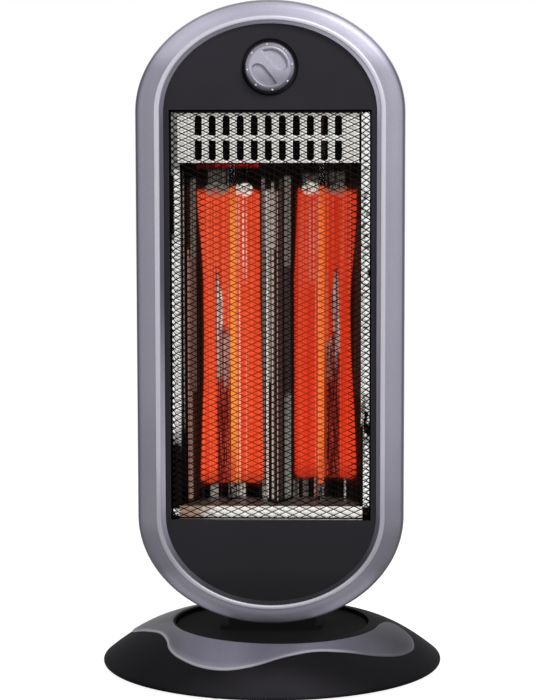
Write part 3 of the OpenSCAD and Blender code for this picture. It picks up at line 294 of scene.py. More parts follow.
def trim_painted_light(m, col):
    """Light and shade painted into the trim's silver: lighter and darker along x, a painted shadow at its
    right rear, and a painted highlight on zone 1, the raised outer edge.
    """
    x = m.mm(0)
    # painted light and shade along x
    part = m.levels(x, (-150, 0.46), (-127, 0.53), (-105, 0.58), (-80, 1.02), (-55, 1.28), (-38, 1.34),
                    (-5, 0.98), (19, 1.01), (40, 1.19), (61, 1.02), (82, 0.73), (103, 0.57), (120, 0.45),
                    (134, 0.34))
    # painted shadow at the right rear of the trim
    far_shadow = m.mul(m.step(m.mm(1), -95, -50, 0, 0.5), m.step(x, 80, 115))
    # painted highlight on the raised outer edge, stronger in some places along x
    edge = m.levels(x, (-25, 0.76), (5, 0.32), (32, 0.68), (60, 0.68), (100, 0.1))
    col = m.shade(col, m.mul(part, m.sub(1, far_shadow)))
    return m.mix(m.mul(m.attribute("zone"), edge), col, srgb(168, 165, 172))


def knob_painted_light(m, col):
    """Light and shade painted into the knob's silver: the face lighter towards its top, the rim darker
    towards its bottom. Zone 1 is the rim, 2 its eight pips, which take a lighter silver.
    """
    z, zone = m.sub(m.mm(2), KNOB_Z), m.attribute("zone")
    rim = m.levels(z, (-25, 0.1), (-14, 0.24), (0, 0.67), (20, 0.5))
    face = m.levels(z, (-16, 0.66), (2, 1.16))
    col = m.mix(m.step(zone, 0, 1), m.shade(col, face), m.shade(col, rim))
    return m.mix(m.step(zone, 1.1, 2), col, srgb(196, 194, 199))


# Black and pale plastic, enamel and steel
def satin_black(name, lo, hi, rough, grain=0.00004, gloss=0.15, lift=None, panel=False):
    """Black plastic; lift is a painted glow, the least light it shows where it lies in the body's shadow. A
    panel is painted darker towards its bottom, as painted shade.
    """
    m = Mat(name)
    fine = m.noise(2600, 2)
    cloud = m.noise(12, 3)
    col = m.blend(cloud, lo, hi)
    # painted shade: a panel is darker towards its bottom
    if panel:
        col = m.shade(col, m.levels(m.mm(2), (88, 0.42), (112, 0.74), (150, 0.8), (600, 1)))
    # painted glow that lifts the darkest shade
    if lift:
        m.glow(m.mix(m.vary(cloud, 0, 1), lift, tuple(1.15 * c for c in lift)))
    return m.finish(col, (cloud, rough - 0.03, rough + 0.04), (fine, grain, 0.35), Specular_IOR_Level=gloss)


def gloss_black():
    """The base's black, with a painted soft highlight in front where the dome turns to the viewer."""
    m = Mat("gloss_black")
    cloud = m.noise(14, 3)
    fine = m.noise(1800, 2)
    col = m.blend(cloud, srgb(22, 21, 23), srgb(28, 27, 30))
    # painted highlight at the front of the dome
    front = m.mul(m.below(m.mm(1), -172, -135), m.window(m.mm(0), -70, 75, 55))
    col = m.shade(col, m.add(1, m.mul(front, 1.5)))
    return m.finish(col, (cloud, 0.5, 0.56), (fine, 0.00002, 0.2), Specular_IOR_Level=0.008)


def guard_black(name, glow=False):
    """Black enamel; on the net the strands before the glowing bands take a painted red glow."""
    m = Mat(name)
    fine = m.noise(1500, 3)
    col = m.blend(fine, (0.0016, 0.0014, 0.0014), (0.0042, 0.0036, 0.0034))
    if glow:
        x, z = m.mm(0), m.mm(2)
        # painted red glow on the strands before the glowing bands
        lit = m.add(m.window(x, -68.5, -11.5, 2.5), m.window(x, 27, 80.5, 2.5))
        lit = m.mul(lit, m.window(z, 203, 500, 3))
        for x_a, x_b, z_top in NET_DARK:
            dark = m.mul(m.window(x, x_a, x_b, 1.5), m.below(z, z_top - 14, z_top))
            lit = m.mul(lit, m.sub(1, dark))
        m.glow(m.mix(lit, NO_LIGHT, srgb(152, 38, 16)))
    return m.finish(col, (fine, 0.5, 0.65), (fine, 0.00005, 0.5), Specular_IOR_Level=0.025)


def pale_plastic(name, lo, hi, darkened=False):
    """Pale plastic or ceramic; its upper pieces may be made black."""
    m = Mat(name)
    cloud = m.noise(60, 3)
    fine = m.noise(1500, 2)
    col = m.blend(cloud, lo, hi)
    if darkened:
        darker_colour = m.blend(cloud, (0.006, 0.005, 0.005), (0.02, 0.018, 0.016))
        col = m.mix(m.step(m.mm(2), 250, 350), col, darker_colour)
    return m.finish(col, (cloud, 0.42, 0.52), (fine, 0.00004, 0.3))


def plain_steel():
    m = Mat("plain_steel")
    brush = m.noise(700, 3, 0.6, (0.06, 1, 1))
    stain = m.noise(22, 4)
    col = m.ramp(stain, (0.35, (0.34, 0.33, 0.33)), (0.7, (0.52, 0.52, 0.53)))
    return m.finish(col, (brush, 0.28, 0.42), (brush, 0.00002, 0.4), Metallic=1)


# Bright sheets round the window
def bright_sheet(name, shine, mirrored=0, dull_to=None):
    """Polished sheet, darker behind its front, with a painted glow on its front; it may carry a painted
    reflection of the net before it, or be dull at its left.
    """
    m = Mat(name)
    brush = m.noise(500, 3, 0.6, (1, 1, 0.05))
    dent = m.noise(45, 2)
    blotch = m.noise(160, 3, 0.6, (1, 1, 1.6))
    col = m.blend(brush, (0.86, 0.84, 0.79), (0.98, 0.97, 0.93))
    if mirrored:
        # painted reflection of the net before the sheet
        u, w = m.div(m.sub(m.mm(0), GUARD_LEFT), NET_DX), m.div(m.sub(m.mm(2), GUARD_BOTTOM), NET_DZ)
        lines = m.net_lines(u, w, 0.74, 0.96)
        both = m.most(lines[0], m.mul(lines[1], 0.6))
        seen = m.mul(m.mul(both, m.step(blotch, 0.36, 0.58, 0.45, 1)), mirrored)
        col = m.mix(seen, col, (0.04, 0.037, 0.034))
    if dull_to is not None:
        dull = m.below(m.add(m.mm(0), m.sway(blotch, 40)), dull_to - 16, dull_to + 12)
        col = m.mix(dull, col, (0.34, 0.223, 0.155))
    rear = m.step(m.mm(1), *SHEET_FRONT)
    darkened = m.ramp(blotch, (0.36, (0.012, 0.01, 0.009)), (0.6, (0.24, 0.215, 0.195)))
    # painted glow on the front face, shine times its colour; none on the rear parts
    m.glow(m.mix(rear, m.shade(col, shine), NO_LIGHT))
    dents = (dent, 0.0005, 0.6, m.bump(brush, 0.00002, 0.3))
    return m.finish(m.mix(rear, col, darkened), (brush, 0.3, 0.42), dents, Metallic=0.45)


def wing_sheet():
    """Crinkled side strips: bright in front, the slanted wall painted dark as a painted reflection but for
    one bright line on it, and dark patches at bends.
    """
    m = Mat("wing_sheet")
    x, y, z = (m.mm(i) for i in range(3))
    left = m.below(x, -1, 1)
    crinkle = m.noise(70, 3, 0.6, (1, 1, 0.5))
    mottle = m.noise(150, 3, 0.6)
    edge = m.sway(crinkle, 60)
    ragged_z, ragged_x = m.add(z, edge), m.add(x, m.mul(edge, 0.08))
    # painted dark reflection on the slanted wall, all but one bright line
    wall = m.mul(m.step(y, -24, -23.6), m.sub(1, m.mul(m.window(y, -21.2, -19.6, 0.3), 0.8)))
    # patches of the left strip
    fade = m.mul(left, m.mul(m.below(ragged_z, 236, 262), m.step(z, 166, 169)))
    upper = m.mul(m.window(z, 450, 522, 8), m.below(x, -100.2, -99.4))
    upper = m.add(m.mul(m.step(z, 520, 526), 0.75), upper)
    # patches of the right strip
    notch = m.mul(m.window(ragged_z, 246, 262, 4), m.step(ragged_x, 96, 98))
    spots = m.mul(m.window(ragged_z, 412, 424, 4), m.step(ragged_x, 99, 101.5))
    dull = m.mul(m.window(ragged_z, 215, 290, 8), m.step(mottle, 0.4, 0.56, 0.75, 0.1))
    foot = m.most(m.below(z, 170, 173), m.mul(m.below(z, 255, 262), m.below(x, 95.6, 96.6)))
    patchy = m.mul(m.window(ragged_z, 400, 520, 10), m.step(mottle, 0.38, 0.5, 0.7, 0))
    patches = m.most(m.add(m.add(notch, spots), dull), m.most(foot, patchy))
    patches = m.add(m.mul(patches, m.sub(1, left)), m.mul(left, upper))
    dark = m.math("MINIMUM", m.add(m.add(wall, fade), patches), 1)
    bright = m.ramp(mottle, (0.3, (0.62, 0.62, 0.6)), (0.46, (0.9, 0.9, 0.88)), (0.8, (0.98, 0.98, 0.97)))
    col = m.mix(dark, bright, (0.01, 0.006, 0.005))
    return m.finish(col, (mottle, 0.14, 0.24), (crinkle, 0.0016, 0.8), Metallic=1)


# Glass tubes and their carbon cords
def quartz_glass():
    m = Mat("quartz_glass")
    streak = m.noise(300, 2, 0.5, (1, 1, 0.03))
    m.set(Base_Color=(0.97, 0.96, 0.95, 1), Roughness=m.vary(streak, 0, 0.02), Transmission_Weight=1,
          IOR=1.38, Specular_Tint=(0.3, 0.3, 0.3, 1))
    return m.mat


def glowing_carbon(name, lower, upper):
    """Carbon cord that glows between its two end sleeves; lower and upper are its hot colours there."""
    m = Mat(name)
    z = m.mm(2)
    strand = m.noise(900, 2, 0.5, (1, 1, 0.3))
    sleeve = m.noise(420, 3, 0.6)
    cool = (0.62, 0.085, 0.018)
    lit = m.window(z, 189.5, 504, 1.5)
    col = m.mix(m.below(z, 200, 470), upper, lower)
    col = m.mix(m.vary(strand, 0, 0.3), col, tuple(min(1, 1.25 * c) for c in lower))
    col = m.mix(m.window(z, 222, 486, 22), cool, col)
    col = m.mix(m.step(z, 220, 340, 0.28, 0), col, cool)
    metal = m.ramp(sleeve, (0.36, (0.012, 0.01, 0.009)), (0.52, (0.16, 0.15, 0.14)),
                   (0.66, (0.55, 0.53, 0.5)))
    metal = m.mix(m.step(z, 300, 400), metal, (0.02, 0.018, 0.017))
    m.glow(m.mix(lit, NO_LIGHT, col))
    m.set(Base_Color=m.mix(lit, metal, (0.05, 0.016, 0.005)), Roughness=0.7, Specular_IOR_Level=0.1,
          Normal=m.bump(strand, 0.0002, 0.6))
    return m.mat


# Reflector troughs. Their whole look is a painted reflection of the glowing tube and its surroundings, drawn
# as a glow. In a spec x counts from the tube's axis and z from the floor. A side line is a place and bends,
# each with a size and the heights where it starts and ends. A box is from x, to x, from z, to z, strength
# and colour; an oval is centre x and z, half width and height, strength and colour.
class Trough(Mat):
    """The places and noises that a polished trough's painted reflection is drawn with."""

    def __init__(self, name, axis):
        super().__init__(name)
        self.x, self.z = self.sub(self.mm(0), axis), self.mm(2)
        self.streak = self.noise(420, 3, 0.6, (1, 1, 0.01))
        self.blotch = self.noise(90, 3, 0.6, (1, 1, 0.5))
        self.fine = self.noise(900, 3, 0.6, (1, 1, 0.045))
        self.speck = self.noise(520, 2, 0.5, (1, 1, 0.7))
        self.wander = self.sway(self.noise(16, 2, 0.5, (0.2, 0.2, 1)), 2.2)

    def side(self, share, base, *bends):
        """A side line; share is how much of the wander it takes."""
        for size, z_from, z_to in bends:
            way = (0, 1) if z_to > z_from else (1, 0)
            bend = self.step(self.z, min(z_from, z_to), max(z_from, z_to), *way)
            base = self.add(base, self.mul(bend, size))
        return self.add(base, self.mul(self.wander, share))

    def paint(self, look, boxes, soft_x, soft_z, patchy, colour=None):
        """Soft boxes laid over a look, each in its own colour or in a common one."""
        for x_a, x_b, z_a, z_b, strength, *own in boxes:
            mask = self.mul(self.window(self.x, x_a, x_b, soft_x), self.window(self.z, z_a, z_b, soft_z))
            look = self.mix(self.mul(self.mul(mask, patchy), strength), look, *(own or [colour]))
        return look


def glow_band(m, foot, top, x_left, x_right):
    """Where the trough shows its painted glow: a band with rounded lower corners and a ragged upper end."""
    near = m.math("MINIMUM", m.sub(m.x, x_left), m.sub(x_right, m.x))
    corner = m.step(near, 0, 6, 4, 0)
    rise = m.step(m.z, m.add(corner, foot - 1.5), m.add(corner, foot + 1.5))
    end = m.below(m.z, m.sub(top, 3), m.add(top, 3))
    return m.mul(m.window(m.x, x_left, x_right, 0.9), m.mul(rise, end))


def glow_red(m, spec):
    """The band's painted red glow, with a painted reflection of the net, pale streaks, a darker lower end
    and orange lines.
    """
    foot = spec["bottom"]
    red = m.ramp(m.streak, *zip((0.3, 0.52, 0.72), spec["reds"]))
    net = m.most(*m.net_lines(m.div(m.x, 6.1), m.div(m.z, 2.75), 0.62, 0.95))
    net = m.mul(net, m.step(m.blotch, 0.35, 0.6, 0.12, 0.34))
    red = m.mix(net, m.shade(red, 1.07), (0.3, 0.01, 0.004))
    pale = m.mul(m.step(m.z, 370, 440), m.step(m.streak, 0.48, 0.66, 0, 0.42))
    red = m.mix(pale, red, srgb(236, 128, 98))
    fade = m.mul(m.step(m.z, 210, 470, 1, spec["fade"]), m.step(m.z, foot, foot + 20, 0.55, 1))
    red = m.mix(m.mul(m.window(m.x, -6, 6.5, 1.4), 0.5), m.shade(red, fade), srgb(232, 118, 40))
    return m.paint(red, spec["orange"], 0.6, 20, 1, (0.86, 0.3, 0.022))


def beside_glow(m, spec, top, x_left, x_right):
    """The painted reflection that the sheet shows beside the band."""
    look = m.ramp(m.streak, (0.4, (0.0006, 0.0004, 0.0004)), (0.58, (0.004, 0.0022, 0.002)),
                  (0.72, (0.022, 0.012, 0.01)))
    patchy = m.mul(m.step(m.speck, 0.36, 0.54, 0.55, 1.15), m.step(m.streak, 0.34, 0.56, 0.28, 1))
    painted_marks = [(*mark[:5], tuple(1.12 * c for c in mark[5])) for mark in spec["painted_marks"]]
    look = m.paint(look, painted_marks, 0.5, 2.5, patchy)
    rim = m.mul(m.window(m.x, m.sub(x_left, 2), m.add(x_right, 2), 1.5),
                m.window(m.z, spec["bottom"] - 4, m.add(top, 4), 3))
    return m.mix(m.mul(rim, 0.4), look, (0.07, 0.003, 0.001))


def flame_reflection(m, spec, look, band):
    """The flame-shaped dark patch of painted reflection, which narrows to a point at its top, with darker
    and paler painted patches inside.
    """
    tip = spec["tip"]
    x_left, x_right = m.side(0.4, *spec["flame_left"]), m.side(0.4, *spec["flame_right"])
    flame = m.mul(m.window(m.x, x_left, x_right, 0.8), m.below(m.z, tip - 2, tip + 2))
    darker_colour, flame_patches = (m.ramp(m.fine, *zip((0.38, 0.52, 0.64), cols)) for cols in (
        ((0.085, 0.003, 0.002), (0.24, 0.018, 0.011), (0.5, 0.07, 0.045)),
        ((0.18, 0.018, 0.012), (0.38, 0.095, 0.07), (0.64, 0.32, 0.26))))
    patch = m.shade(m.mix(m.step(m.z, tip - 140, tip - 75), darker_colour, flame_patches), spec["flame_strength"])
    patchy = m.mul(m.step(m.fine, 0.4, 0.54, 0.35, 1), m.step(m.speck, 0.4, 0.52, 0.45, 1))
    return m.paint(m.mix(m.mul(flame, band), look, patch), spec["flame_patches"], 0.7, 5, m.mul(flame, patchy))


def cap_images(m, spec, look):
    """The end caps' oval mirror images over the band, as painted reflections."""
    patchy = m.step(m.speck, 0.38, 0.55, 0.15, 1)
    for x, z, half_x, half_z, strength, colour in spec["ovals"]:
        squares = [m.math("POWER", m.div(m.sub(at, mid), half), 2)
                   for at, mid, half in ((m.x, x, half_x), (m.z, z, half_z))]
        oval = m.step(m.add(m.add(*squares), m.sway(m.blotch, 0.6)), 0.7, 1.15, strength, 0)
        look = m.mix(m.mul(oval, patchy), look, colour)
    return look


def trough_sheet(name, axis, spec):
    """Polished trough whose look is a painted reflection of its tube's glow, with painted streaks and
    patches.
    """
    m = Trough(name, axis)
    top = m.add(spec["top"], m.sway(m.blotch, 14))
    x_left, x_right = m.side(1, *spec["left"]), m.side(1, *spec["right"])
    band = glow_band(m, spec["bottom"], top, x_left, x_right)
    look = m.mix(band, beside_glow(m, spec, top, x_left, x_right), glow_red(m, spec))
    look = cap_images(m, spec, flame_reflection(m, spec, look, band))
    look = m.paint(look, spec["shine"], 0.35, 12, m.step(m.blotch, 0.35, 0.6, 0.25, 1), (0.9, 0.66, 0.54))
    # the whole look is a painted glow over a dark metal
    m.glow(look)
    m.set(Base_Color=m.blend(m.streak, (0.002, 0.0015, 0.0015), (0.01, 0.008, 0.008)), Metallic=1,
          Roughness=m.vary(m.streak, 0.24, 0.36))
    return m.mat


GREY, PALE, WHITE = (0.17, 0.15, 0.135), (0.42, 0.38, 0.34), (0.8, 0.74, 0.68)
DULL, BROWN, GREEN = (0.24, 0.21, 0.19), (0.085, 0.042, 0.034), (0.17, 0.175, 0.15)
NEAR_BLACK = (0.006, 0.004, 0.004)
LEFT_TROUGH = {
    "left": (-30.9, (-6.3, 390, 512), (-3.6, 320, 190)),
    "right": (28.4, (3.4, 420, 190)),
    "flame_left": (-17.9, (-1.2, 320, 352)),
    "flame_right": (-3.4, (-1.1, 300, 340), (-7.2, 338, 362), (-7, 378, 424)),
    "bottom": 188, "top": 499, "tip": 424, "fade": 0.85, "flame_strength": 1,
    "reds": (srgb(222, 60, 28), srgb(238, 80, 44), srgb(246, 104, 66)),
    "painted_marks": [
        (-47, -38, 290, 430, 1, (0.13, 0.072, 0.06)), (-47, -44.6, 176, 440, 1, (0.3, 0.12, 0.085)),
        (-44.6, -41.5, 176, 290, 1, (0.24, 0.15, 0.12)),
        (-42, -38, 176, 290, 0.5, (0.05, 0.012, 0.009)), (-43, -38, 430, 512, 0.8, GREY),
        (30, 33.6, 176, 512, 0.8, GREY), (35, 37.6, 176, 500, 1, WHITE),
        (38.4, 39.8, 300, 500, 0.8, PALE), (41.2, 43.8, 176, 508, 0.85, PALE),
        (33.8, 46, 440, 500, 0.5, PALE), (-25, -17, 172, 186, 1, DULL), (-2, 4, 172, 187, 0.9, PALE),
        (5.5, 12, 172, 187, 1, PALE), (30.5, 36, 172, 187, 1, DULL),
        (-19, 27, 523.5, 526.5, 1, (0.32, 0.006, 0.008)),
        (-37, -19, 523, 526, 0.5, (0.2, 0.004, 0.006)), (-26, -8, 506, 520, 0.35, GREY),
    ],
    "flame_patches": [
        (-19.5, -17.4, 290, 424, 0.8, (0.13, 0.085, 0.075)),
        (-17.4, -15.4, 300, 424, 1, (0.7, 0.63, 0.58)),
        (-15.4, -14.2, 300, 400, 0.8, (0.05, 0.03, 0.026)),
        (-14.2, -11.4, 352, 394, 1, (0.78, 0.71, 0.65)),
        (-14.2, -12.4, 300, 350, 0.8, (0.36, 0.27, 0.24)), (-12.2, -11, 290, 350, 0.8, NEAR_BLACK),
        (-10.8, -6, 290, 345, 0.75, (0.5, 0.31, 0.27)),
    ],
    "orange": [(2.2, 6, 150, 320, 0.85), (-6.5, -4, 150, 300, 0.4)],
    "ovals": [(-18, 500, 12, 8, 0.85, (0.19, 0.175, 0.15)), (12.5, 499.5, 8.5, 7, 1, (0.78, 0.74, 0.68))],
    "shine": [
        (9.2, 10.9, 404, 500, 0.75), (5.4, 6.6, 195, 400, 0.9), (4.2, 6, 404, 500, 0.6),
        (12.8, 14.2, 404, 500, 0.5), (12.5, 13.6, 195, 330, 0.35),
    ],
}
RIGHT_TROUGH = {
    "left": (-28.6, (3.9, 400, 505)),
    "right": (30.2, (6.8, 372, 490), (6.2, 372, 205)),
    "flame_left": (4.4, (8, 330, 352), (-2, 356, 380), (2.4, 388, 404), (3.2, 404, 424)),
    "flame_right": (19, (-1.2, 340, 400), (-2.6, 400, 426)),
    "bottom": 194, "top": 499, "tip": 426, "fade": 0.76, "flame_strength": 0.68,
    "reds": (srgb(206, 42, 20), srgb(226, 60, 32), srgb(238, 84, 52)),
    "painted_marks": [
        (-46.3, -44.8, 176, 500, 0.9, (0.36, 0.26, 0.22)),
        (-43.6, -40.6, 176, 512, 0.7, (0.045, 0.045, 0.042)), (-38.8, -32, 420, 514, 0.8, GREY),
        (-38.8, -32, 285, 420, 0.5, (0.045, 0.05, 0.045)), (-38.8, -32, 176, 285, 0.95, GREEN),
        (-8, -4, 172, 193, 1, (0.4, 0.16, 0.13)), (24, 26, 172, 193, 1, PALE),
        (-30, -24, 172, 193, 0.6, GREY), (-20, -14, 172, 193, 0.5, GREY),
        (34, 46.5, 285, 470, 0.2, BROWN), (8, 24, 507, 518, 0.3, GREY), (-20, -6, 506, 516, 0.3, GREY),
    ],
    "flame_patches": [
        (16.6, 19.5, 330, 426, 0.9, (0.46, 0.41, 0.38)), (14.8, 16.4, 330, 426, 0.8, (0.07, 0.045, 0.04)),
        (12.2, 14.8, 350, 410, 0.9, (0.42, 0.37, 0.34)), (10, 12.4, 352, 396, 0.6, (0.16, 0.1, 0.09)),
        (11.5, 13.2, 300, 350, 0.8, NEAR_BLACK), (14.2, 16.4, 312, 345, 0.7, (0.4, 0.31, 0.27)),
        (5.5, 8.5, 300, 345, 0.4, (0.36, 0.22, 0.19)),
    ],
    "orange": [(-5.5, -3, 150, 420, 0.5)],
    "ovals": [(17, 500, 10, 8, 0.8, (0.17, 0.155, 0.135)), (-13, 501, 8, 7.5, 1, (0.66, 0.61, 0.54))],
    "shine": [(-13.2, -11.7, 404, 504, 0.3), (-9, -7.6, 404, 504, 0.25), (-6.4, -5.4, 200, 504, 0.7)],
}

# The materials
silver = silver_paint("silver_paint", RING_SILVER, metal=0.25, coat=0.03, rough=0.48, gloss=0.38,
                      painted_light=ring_painted_light)
trim_silver = silver_paint("trim_silver", (srgb(92, 91, 103), srgb(106, 105, 118)), metal=0, coat=0,
                           rough=0.45, gloss=0.12, painted_light=trim_painted_light)
knob_silver = silver_paint("knob_silver", (srgb(126, 123, 137), srgb(154, 151, 165)), metal=0.2, coat=0.05,
                           rough=0.46, gloss=0.5, painted_light=knob_painted_light)
panel_black = satin_black("panel_black", srgb(28, 26, 31), srgb(33, 31, 37), 0.42, panel=True)
housing_black = satin_black("housing_black", srgb(30, 29, 32), srgb(36, 35, 38), 0.5, grain=0.00012)
base_black = gloss_black()
table_black = satin_black("table_black", srgb(12, 12, 13), srgb(16, 16, 17), 0.6, gloss=0.004,
                          lift=srgb(13, 13, 14))
pan_black = satin_black("pan_black", (0.0035, 0.003, 0.003), (0.008, 0.007, 0.007), 0.6, gloss=0.05)
rubber = satin_black("foot_rubber", srgb(24, 24, 24), srgb(34, 33, 33), 0.7, grain=0.0002)
vent_bright = bright_sheet("vent_sheet", 0.06, mirrored=0.9)
lip_bright = bright_sheet("lip_sheet", 0.22, dull_to=-64)
wing_bright = wing_sheet()
steel = plain_steel()
frame_black = guard_black("guard_black")
net_black = guard_black("net_black", glow=True)
cream = pale_plastic("cream_plastic", srgb(196, 192, 176), srgb(212, 209, 195))
ceramic = pale_plastic("ceramic", srgb(216, 211, 198), srgb(232, 228, 218), darkened=True)
signal_red = pale_plastic("signal_red", srgb(176, 44, 24), srgb(196, 56, 32))
wire_red = pale_plastic("wire_red", srgb(112, 28, 22), srgb(136, 40, 32))
wire_brown = pale_plastic("wire_brown", srgb(86, 52, 34), srgb(104, 66, 44))
glass = quartz_glass()
carbons = (glowing_carbon("carbon_glow_left", (1, 0.36, 0.03), (0.86, 0.22, 0.026)),
           glowing_carbon("carbon_glow_right", (0.92, 0.21, 0.022), (0.8, 0.13, 0.02)))
troughs = (trough_sheet("trough_left", TUBE_X[0], LEFT_TROUGH),
           trough_sheet("trough_right", TUBE_X[1], RIGHT_TROUGH))


# Mesh helpers
def make(name, verts, faces, body, material, node, slot, sharp):
    """A mesh piece that rides on a body and stands for a CAD node. Its faces look outwards, and edges
    over sharp degrees stay hard."""
    me = bpy.data.meshes.new(name)
    v = np.asarray(verts, float) * MM
    me.from_pydata(v.tolist(), [], [tuple(int(i) for i in f) for f in faces])
    me.validate()
    bm = bmesh.new()
    bm.from_mesh(me)
    bmesh.ops.recalc_face_normals(bm, faces=bm.faces)
    bm.to_mesh(me)
    bm.free()
    me.update()
    me.polygons.foreach_set("use_smooth", [True] * len(me.polygons))
    me.set_sharp_from_angle(angle=math.radians(sharp))
    ob = bpy.data.objects.new(name, me)
    scene.collection.objects.link(ob)
    me.materials.append(material)
    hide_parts(node)
    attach(ob, body)
    return ob


def mark_zone(ob, values):
    """A number at each vertex that the material reads."""
    zone = ob.data.attributes.new("zone", "FLOAT", "POINT")
    zone.data.foreach_set("value", np.asarray(values, np.float32))


def grid_faces(rows, cols, close_rows=False, close_cols=False, start=0):
    """Faces between rows of points, which may close to a ring either way."""
    out = []
    for a in range(rows if close_rows else rows - 1):
        b = (a + 1) % rows
        for c in range(cols if close_cols else cols - 1):
            d = (c + 1) % cols
            out.append(tuple(start + row * cols + col for row, col in ((a, c), (b, c), (b, d), (a, d))))
    return out


def circle(steps):
    """Cosine and sine of evenly spaced angles."""
    a = 2 * np.pi * np.arange(steps) / steps
    return np.cos(a), np.sin(a)


def spline(points, steps):
    """Smooth open curve through the points."""
    p = np.asarray(points, float)
    q = np.vstack([2 * p[0] - p[1], p, 2 * p[-1] - p[-2]])
    out = []
    for i in range(1, len(q) - 2):
        a, b, c, d = q[i - 1:i + 3]
        for t in np.arange(steps) / steps:
            out.append(0.5 * (2 * b + (c - a) * t + (2 * a - 5 * b + 4 * c - d) * t * t
                              + (3 * b - a - 3 * c + d) * t ** 3))
    out.append(p[-1])
    return np.array(out)


# The CAD pieces that stay, with a modifier for smooth shading
def smooth_shading(degrees):
    """Welds a mesh and shades it smooth over folds up to some degrees."""
    group = bpy.data.node_groups.new("smooth_shading", "GeometryNodeTree")
    for way in ("INPUT", "OUTPUT"):
        group.interface.new_socket("Geometry", in_out=way, socket_type="NodeSocketGeometry")
    chain = [group.nodes.new(kind) for kind in (
        "NodeGroupInput", "GeometryNodeMergeByDistance", "GeometryNodeSetShadeSmooth",
        "GeometryNodeSetShadeSmooth", "NodeGroupOutput")]
    for a, b in zip(chain, chain[1:]):
        group.links.new(a.outputs[0], b.inputs[0])
    merge, edges = chain[1], chain[3]
    merge.inputs["Distance"].default_value = 2e-6
    edges.domain = "EDGE"
    fold = group.nodes.new("GeometryNodeInputMeshEdgeAngle")
    flat = group.nodes.new("FunctionNodeCompare")
    flat.data_type = "FLOAT"
    flat.operation = "LESS_EQUAL"
    flat.inputs[1].default_value = math.radians(degrees)
    group.links.new(fold.outputs["Unsigned Angle"], flat.inputs[0])
    group.links.new(flat.outputs[0], edges.inputs["Shade Smooth"])
    return group


smooth_group = smooth_shading(32)


def dress(material, *names):
    for n in names:
        ob = nodes[n]
        ob.data.materials.clear()
        ob.data.materials.append(material)
        mod = ob.modifiers.new("smooth", "NODES")
        mod.node_group = smooth_group


dress(panel_black, "front_panel")
dress(housing_black, "rear_housing", "handle_cup")
dress(table_black, "turntable", "neck")
dress(base_black, "base_plate", "cord_gland")
dress(frame_black, "guard_frame")
dress(vent_bright, "vent_panel")
dress(lip_bright, "lip_panel")
dress(wing_bright, "wing_left", "wing_right")
dress(pan_black, "chassis", "upper_lamp_bracket")
dress(steel, "lower_lamp_bracket", "ballast_ring", "swing_motor", "thrust_washer", "hub_nut", "base_screws",
      "motor_screws", "neck_screws", "front_screws", "chassis_screws", "switch_nut", "motor_shaft",
      "switch_shaft", "tip_spring")
dress(cream, "rotary_switch", "terminal_block", "tip_switch", "gear_sector", "drive_pinion", "bearing_ring")
dress(ceramic, "end_caps", "thermal_cutout")
dress(signal_red, "tip_plunger")
dress(rubber, "rubber_feet")
dress(wire_red, "body_wiring")
dress(wire_brown, "base_wiring")
dress(glass, "quartz_tube_left", "quartz_tube_right")

# The finer pieces: each function gives points, faces and, where the material reads them, zones.
# Front ring: a section of (inset, y) points swept round the body's outline
BODY_Z, HALF_STRAIGHT, ARCH, STRETCH = 372.5, 209.5, 114.0, 138.5 / 114
ARCH_STEPS = 72
RING_FACE = [(0, -20), (0, -27), (0, -34), (0.8, -39.5), (3, -43), (6.5, -45), (11, -45.6), (15.2, -45.2)]
RING_LIP = [(15.2, -45.2), (15.9, -45.1), (16.4, -45.15), (17.0, -45.4), (17.8, -45.6), (19.0, -45.65),
            (19.9, -45.4), (20.6, -44.6), (21.4, -42.2), (23.8, -36.5)]
RING_BACK = [(21.4, -36.5), (19.5, -42), (15.7, -42.6), (11, -43.1), (7.5, -42.6), (4.6, -40.8), (3, -38),
             (2.4, -34), (2.4, -20)]


def outline(inset):
    """The body's outline in x and z from its middle, with two flattened arches."""
    a = np.radians(np.linspace(0, 180, ARCH_STEPS + 1))
    r = ARCH - inset
    top = np.stack([STRETCH * r * np.cos(a), HALF_STRAIGHT + r * np.sin(a)], 1)
    return np.vstack([top, -top])


def ring_zone(inset, y):
    """The zone of a point of the ring's front, see ring_painted_light."""
    across = np.interp(inset, (1.6, 3.2, 4, 12, 16.2, 16.7, 20.3, 21.0), (-2, -1, -1, 0, 0, 1, 1, 2))
    return max(float(across), float(np.interp(y, (-40, -36), (-2, -1))))


def ring():
    front = list(spline(RING_FACE, 6)) + list(spline(RING_LIP, 5)[1:])
    rows = []
    for inset, y in front + RING_BACK:
        o = outline(inset)
        rows.append(np.stack([o[:, 0], np.full(len(o), y), BODY_Z + o[:, 1]], 1))
    row_zones = [ring_zone(*p) for p in front] + [0.0] * len(RING_BACK)
    cols = len(rows[0])
    return np.vstack(rows), grid_faces(len(rows), cols, True, True), np.repeat(row_zones, cols)


v, f, zones = ring()
mark_zone(make("ring_shell", v, f, "heater", silver, "front_ring", "silver_paint", 50), zones)

# Base: its dome falls from the recess to a rounded edge
BASE_R, BASE_TOP, RECESS = 178.5, 44.5, 102.5
DOME_START, DOME_BEND, DOME_WALL = 97.0, 1.8, 3.1
FLOOR_LOW, FLOOR_TOP, HUB_HOLE = 31, 34, 20.05
EDGE_ROUND, EDGE_MID = 3, 5
ROUND_R = BASE_R - EDGE_ROUND
EDGE_R = ROUND_R + EDGE_ROUND * math.cos(math.radians(40))
EDGE_Z = EDGE_MID + EDGE_ROUND * math.sin(math.radians(40))


def dome_z(r):
    out = np.maximum(0, (r - DOME_START) / (EDGE_R - DOME_START))
    return BASE_TOP - (BASE_TOP - EDGE_Z) * out ** DOME_BEND


